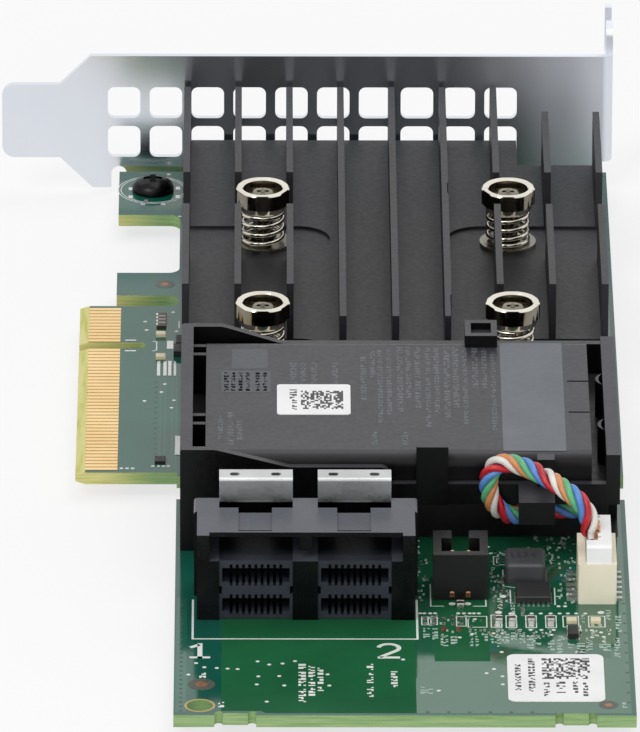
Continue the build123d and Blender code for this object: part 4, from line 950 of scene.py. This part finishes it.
# Print on the labels and on the inductor
ink = Layer(0.0, film)
label_top = node_box("board_label")[1].z
ink.low, ink.high = label_top, label_top + film
speckle(ink, (56.75, 62.5), (-100.6, -94.7), 20, 20, 0.5)
for left, right, front, back in (
    (53.5, 54.2, -103.8, -96.2), (55.1, 55.9, -104.2, -94.8), (56.9, 57.6, -105.5, -101.4),
    (58.4, 59.5, -104.6, -101.4), (60.4, 61.0, -104.6, -101.4), (61.6, 62.2, -105.5, -101.4),
):
    word(ink, left, right, front, back)
code_top = node_box("battery_code_label")[1].z
ink.low, ink.high = code_top, code_top + film
speckle(ink, (27.9, 33.1), (-48.4, -42.8), 22, 14, 0.52)
word(ink, 26.5, 27.4, -48.6, -42.4)
inductor_low, inductor_high = node_box("power_inductor")
ink.low, ink.high = inductor_high.z, inductor_high.z + film
digit_step, digit_width = 0.85, 0.6
for n in range(4):
    left = inductor_low.x + 0.55 + n * digit_step
    speckle(ink, (left, left + digit_width), (inductor_high.y - 3.2, inductor_high.y - 1.4), 3, 5, 0.6)
ink.piece("label_printing", [print_ink], "chip_black")

# Faint print on the pack, its bluish band and its two panels
pack_low, pack_high = node_box("battery_pack")
pack_print = Layer(pack_high.z + sunk, pack_high.z + film)
pack_print.rect(52.6, 60.3, pack_low.y + 1.2, pack_high.y - 1.0, kind=1)
pack_print.rect(18.1, 24.2, -43.0, -36.4, kind=2)
pack_print.rect(19.4, 23.8, -35.8, -29.7, kind=2)
for left, right in ((18.4, 19.0), (19.3, 19.8), (20.2, 20.7), (21.1, 21.6), (22.3, 22.8), (23.2, 23.7)):
    word(pack_print, left, right, -42.6, -37.0)
for left, right, front, back in (
    (26.5, 27.4, -48.8, -42.2), (26.6, 27.4, -40.4, -33.7), (27.9, 28.5, -40.4, -33.7),
    (29.2, 29.9, -40.4, -33.7), (31.8, 32.5, -40.4, -33.7), (35.3, 36.0, -45.3, -32.1),
    (36.5, 37.1, -38.5, -30.0), (37.4, 38.0, -52.3, -30.0), (38.5, 39.1, -49.9, -30.0),
    (39.8, 40.5, -49.0, -29.0), (40.9, 41.5, -44.7, -29.0), (42.0, 42.7, -47.8, -29.0),
    (43.3, 43.9, -53.5, -29.0), (44.4, 45.0, -49.9, -29.0), (45.6, 46.3, -51.4, -29.0),
    (46.7, 47.4, -47.7, -29.0), (47.9, 48.5, -52.6, -29.0), (49.1, 49.8, -41.6, -29.0),
    (50.3, 50.9, -41.6, -29.0), (51.4, 52.0, -54.4, -30.6), (17.7, 18.3, -57.5, -50.2),
    (18.9, 19.6, -59.0, -49.2), (20.0, 20.7, -57.5, -51.6), (36.6, 37.2, -59.0, -55.2),
    (40.2, 41.0, -59.0, -55.2),
):
    word(pack_print, left, right, front, back)
pack_print.piece("pack_printing", [faint_ink, band_film, panel_film], "pack_wrap")

# Stage, lights and camera

stage_size = 3.0
floor_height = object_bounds()[0].z


def white_to_camera(tree, shade):
    """1 where the camera, gloss or glass looks straight at a surface, times shade, else 0."""
    path = tree.nodes.new("ShaderNodeLightPath")
    total = path.outputs["Is Camera Ray"]
    for name in ("Is Glossy Ray", "Is Transmission Ray"):
        larger = tree.nodes.new("ShaderNodeMath")
        larger.operation = "MAXIMUM"
        tree.links.new(total, larger.inputs[0])
        tree.links.new(path.outputs[name], larger.inputs[1])
        total = larger.outputs[0]
    scaled = tree.nodes.new("ShaderNodeMath")
    scaled.operation = "MULTIPLY"
    scaled.inputs[1].default_value = shade
    tree.links.new(total, scaled.inputs[0])
    return scaled.outputs[0]


def make_floor():
    """A pale floor that keeps the card's shadow."""
    mesh = bpy.data.meshes.new("floor")
    half = stage_size / 2
    corners = [(-half, -half), (half, -half), (half, half), (-half, half)]
    mesh.from_pydata([(x, y, floor_height) for x, y in corners], [], [(0, 1, 2, 3)])
    material = bpy.data.materials.new("pale_floor")
    material.use_nodes = True
    tree = material.node_tree
    tree.nodes.clear()
    diffuse = tree.nodes.new("ShaderNodeBsdfDiffuse")
    diffuse.inputs["Color"].default_value = (0.86, 0.86, 0.86, 1)
    glow = tree.nodes.new("ShaderNodeEmission")
    mixed = tree.nodes.new("ShaderNodeMixShader")
    output = tree.nodes.new("ShaderNodeOutputMaterial")
    tree.links.new(white_to_camera(tree, 0.72), mixed.inputs[0])
    tree.links.new(diffuse.outputs[0], mixed.inputs[1])
    tree.links.new(glow.outputs[0], mixed.inputs[2])
    tree.links.new(mixed.outputs[0], output.inputs["Surface"])
    mesh.materials.append(material)
    floor = bpy.data.objects.new("floor", mesh)
    bpy.context.scene.collection.objects.link(floor)


def make_world():
    """An even white room, dimmer for diffuse light than for gloss and the camera."""
    world = bpy.data.worlds.new("studio")
    world.use_nodes = True
    tree = world.node_tree
    background = tree.nodes["Background"]
    background.inputs["Color"].default_value = (1, 1, 1, 1)
    lift = tree.nodes.new("ShaderNodeMath")
    lift.operation = "ADD"
    lift.inputs[1].default_value = room_light
    tree.links.new(white_to_camera(tree, 1 - room_light), lift.inputs[0])
    tree.links.new(lift.outputs[0], background.inputs["Strength"])
    bpy.context.scene.world = world


def make_lamp(name, place, size, power, mirrored=True):
    """A soft square lamp aimed at the middle of the card, seen in gloss unless mirrored is false."""
    data = bpy.data.lights.new(name, "AREA")
    data.size = size
    data.energy = power
    lamp = bpy.data.objects.new(name, data)
    lamp.location = place
    lamp.visible_glossy = mirrored
    middle = Vector((0.03, -0.02, 0.0))
    lamp.rotation_mode = "QUATERNION"
    lamp.rotation_quaternion = (middle - Vector(place)).to_track_quat("-Z", "Y")
    bpy.context.scene.collection.objects.link(lamp)


def make_camera():
    """The photograph's viewpoint: a long lens from the card's front edge, looking down."""
    pitch, yaw, roll = (math.radians(a) for a in (23.521, 0.280, 0.189))
    level = math.cos(pitch)
    forward = Vector((math.sin(yaw) * level, math.cos(yaw) * level, -math.sin(pitch)))
    right = Vector((math.cos(yaw), -math.sin(yaw), 0))
    up = right.cross(forward)
    turned_right = math.cos(roll) * right + math.sin(roll) * up
    turned_up = -math.sin(roll) * right + math.cos(roll) * up
    data = bpy.data.cameras.new("camera")
    data.sensor_width = 36
    data.lens = 701.12
    camera = bpy.data.objects.new("camera", data)
    camera.matrix_world = Matrix((turned_right, turned_up, -forward)).transposed().to_4x4()
    camera.location = Vector((22.374, -1653.409, 716.856)) * MM
    bpy.context.scene.collection.objects.link(camera)
    bpy.context.scene.camera = camera


room_light = 0.5
make_floor()
make_world()
make_lamp("key", (-0.55, -0.75, 1.15), 0.7, 7.0)
make_lamp("top", (0.35, 0.35, 1.3), 0.9, 5.0)
make_lamp("front", (0.1, -1.4, 0.3), 0.8, 5.0, mirrored=False)
make_camera()
bpy.context.scene.view_settings.view_transform = "Standard"
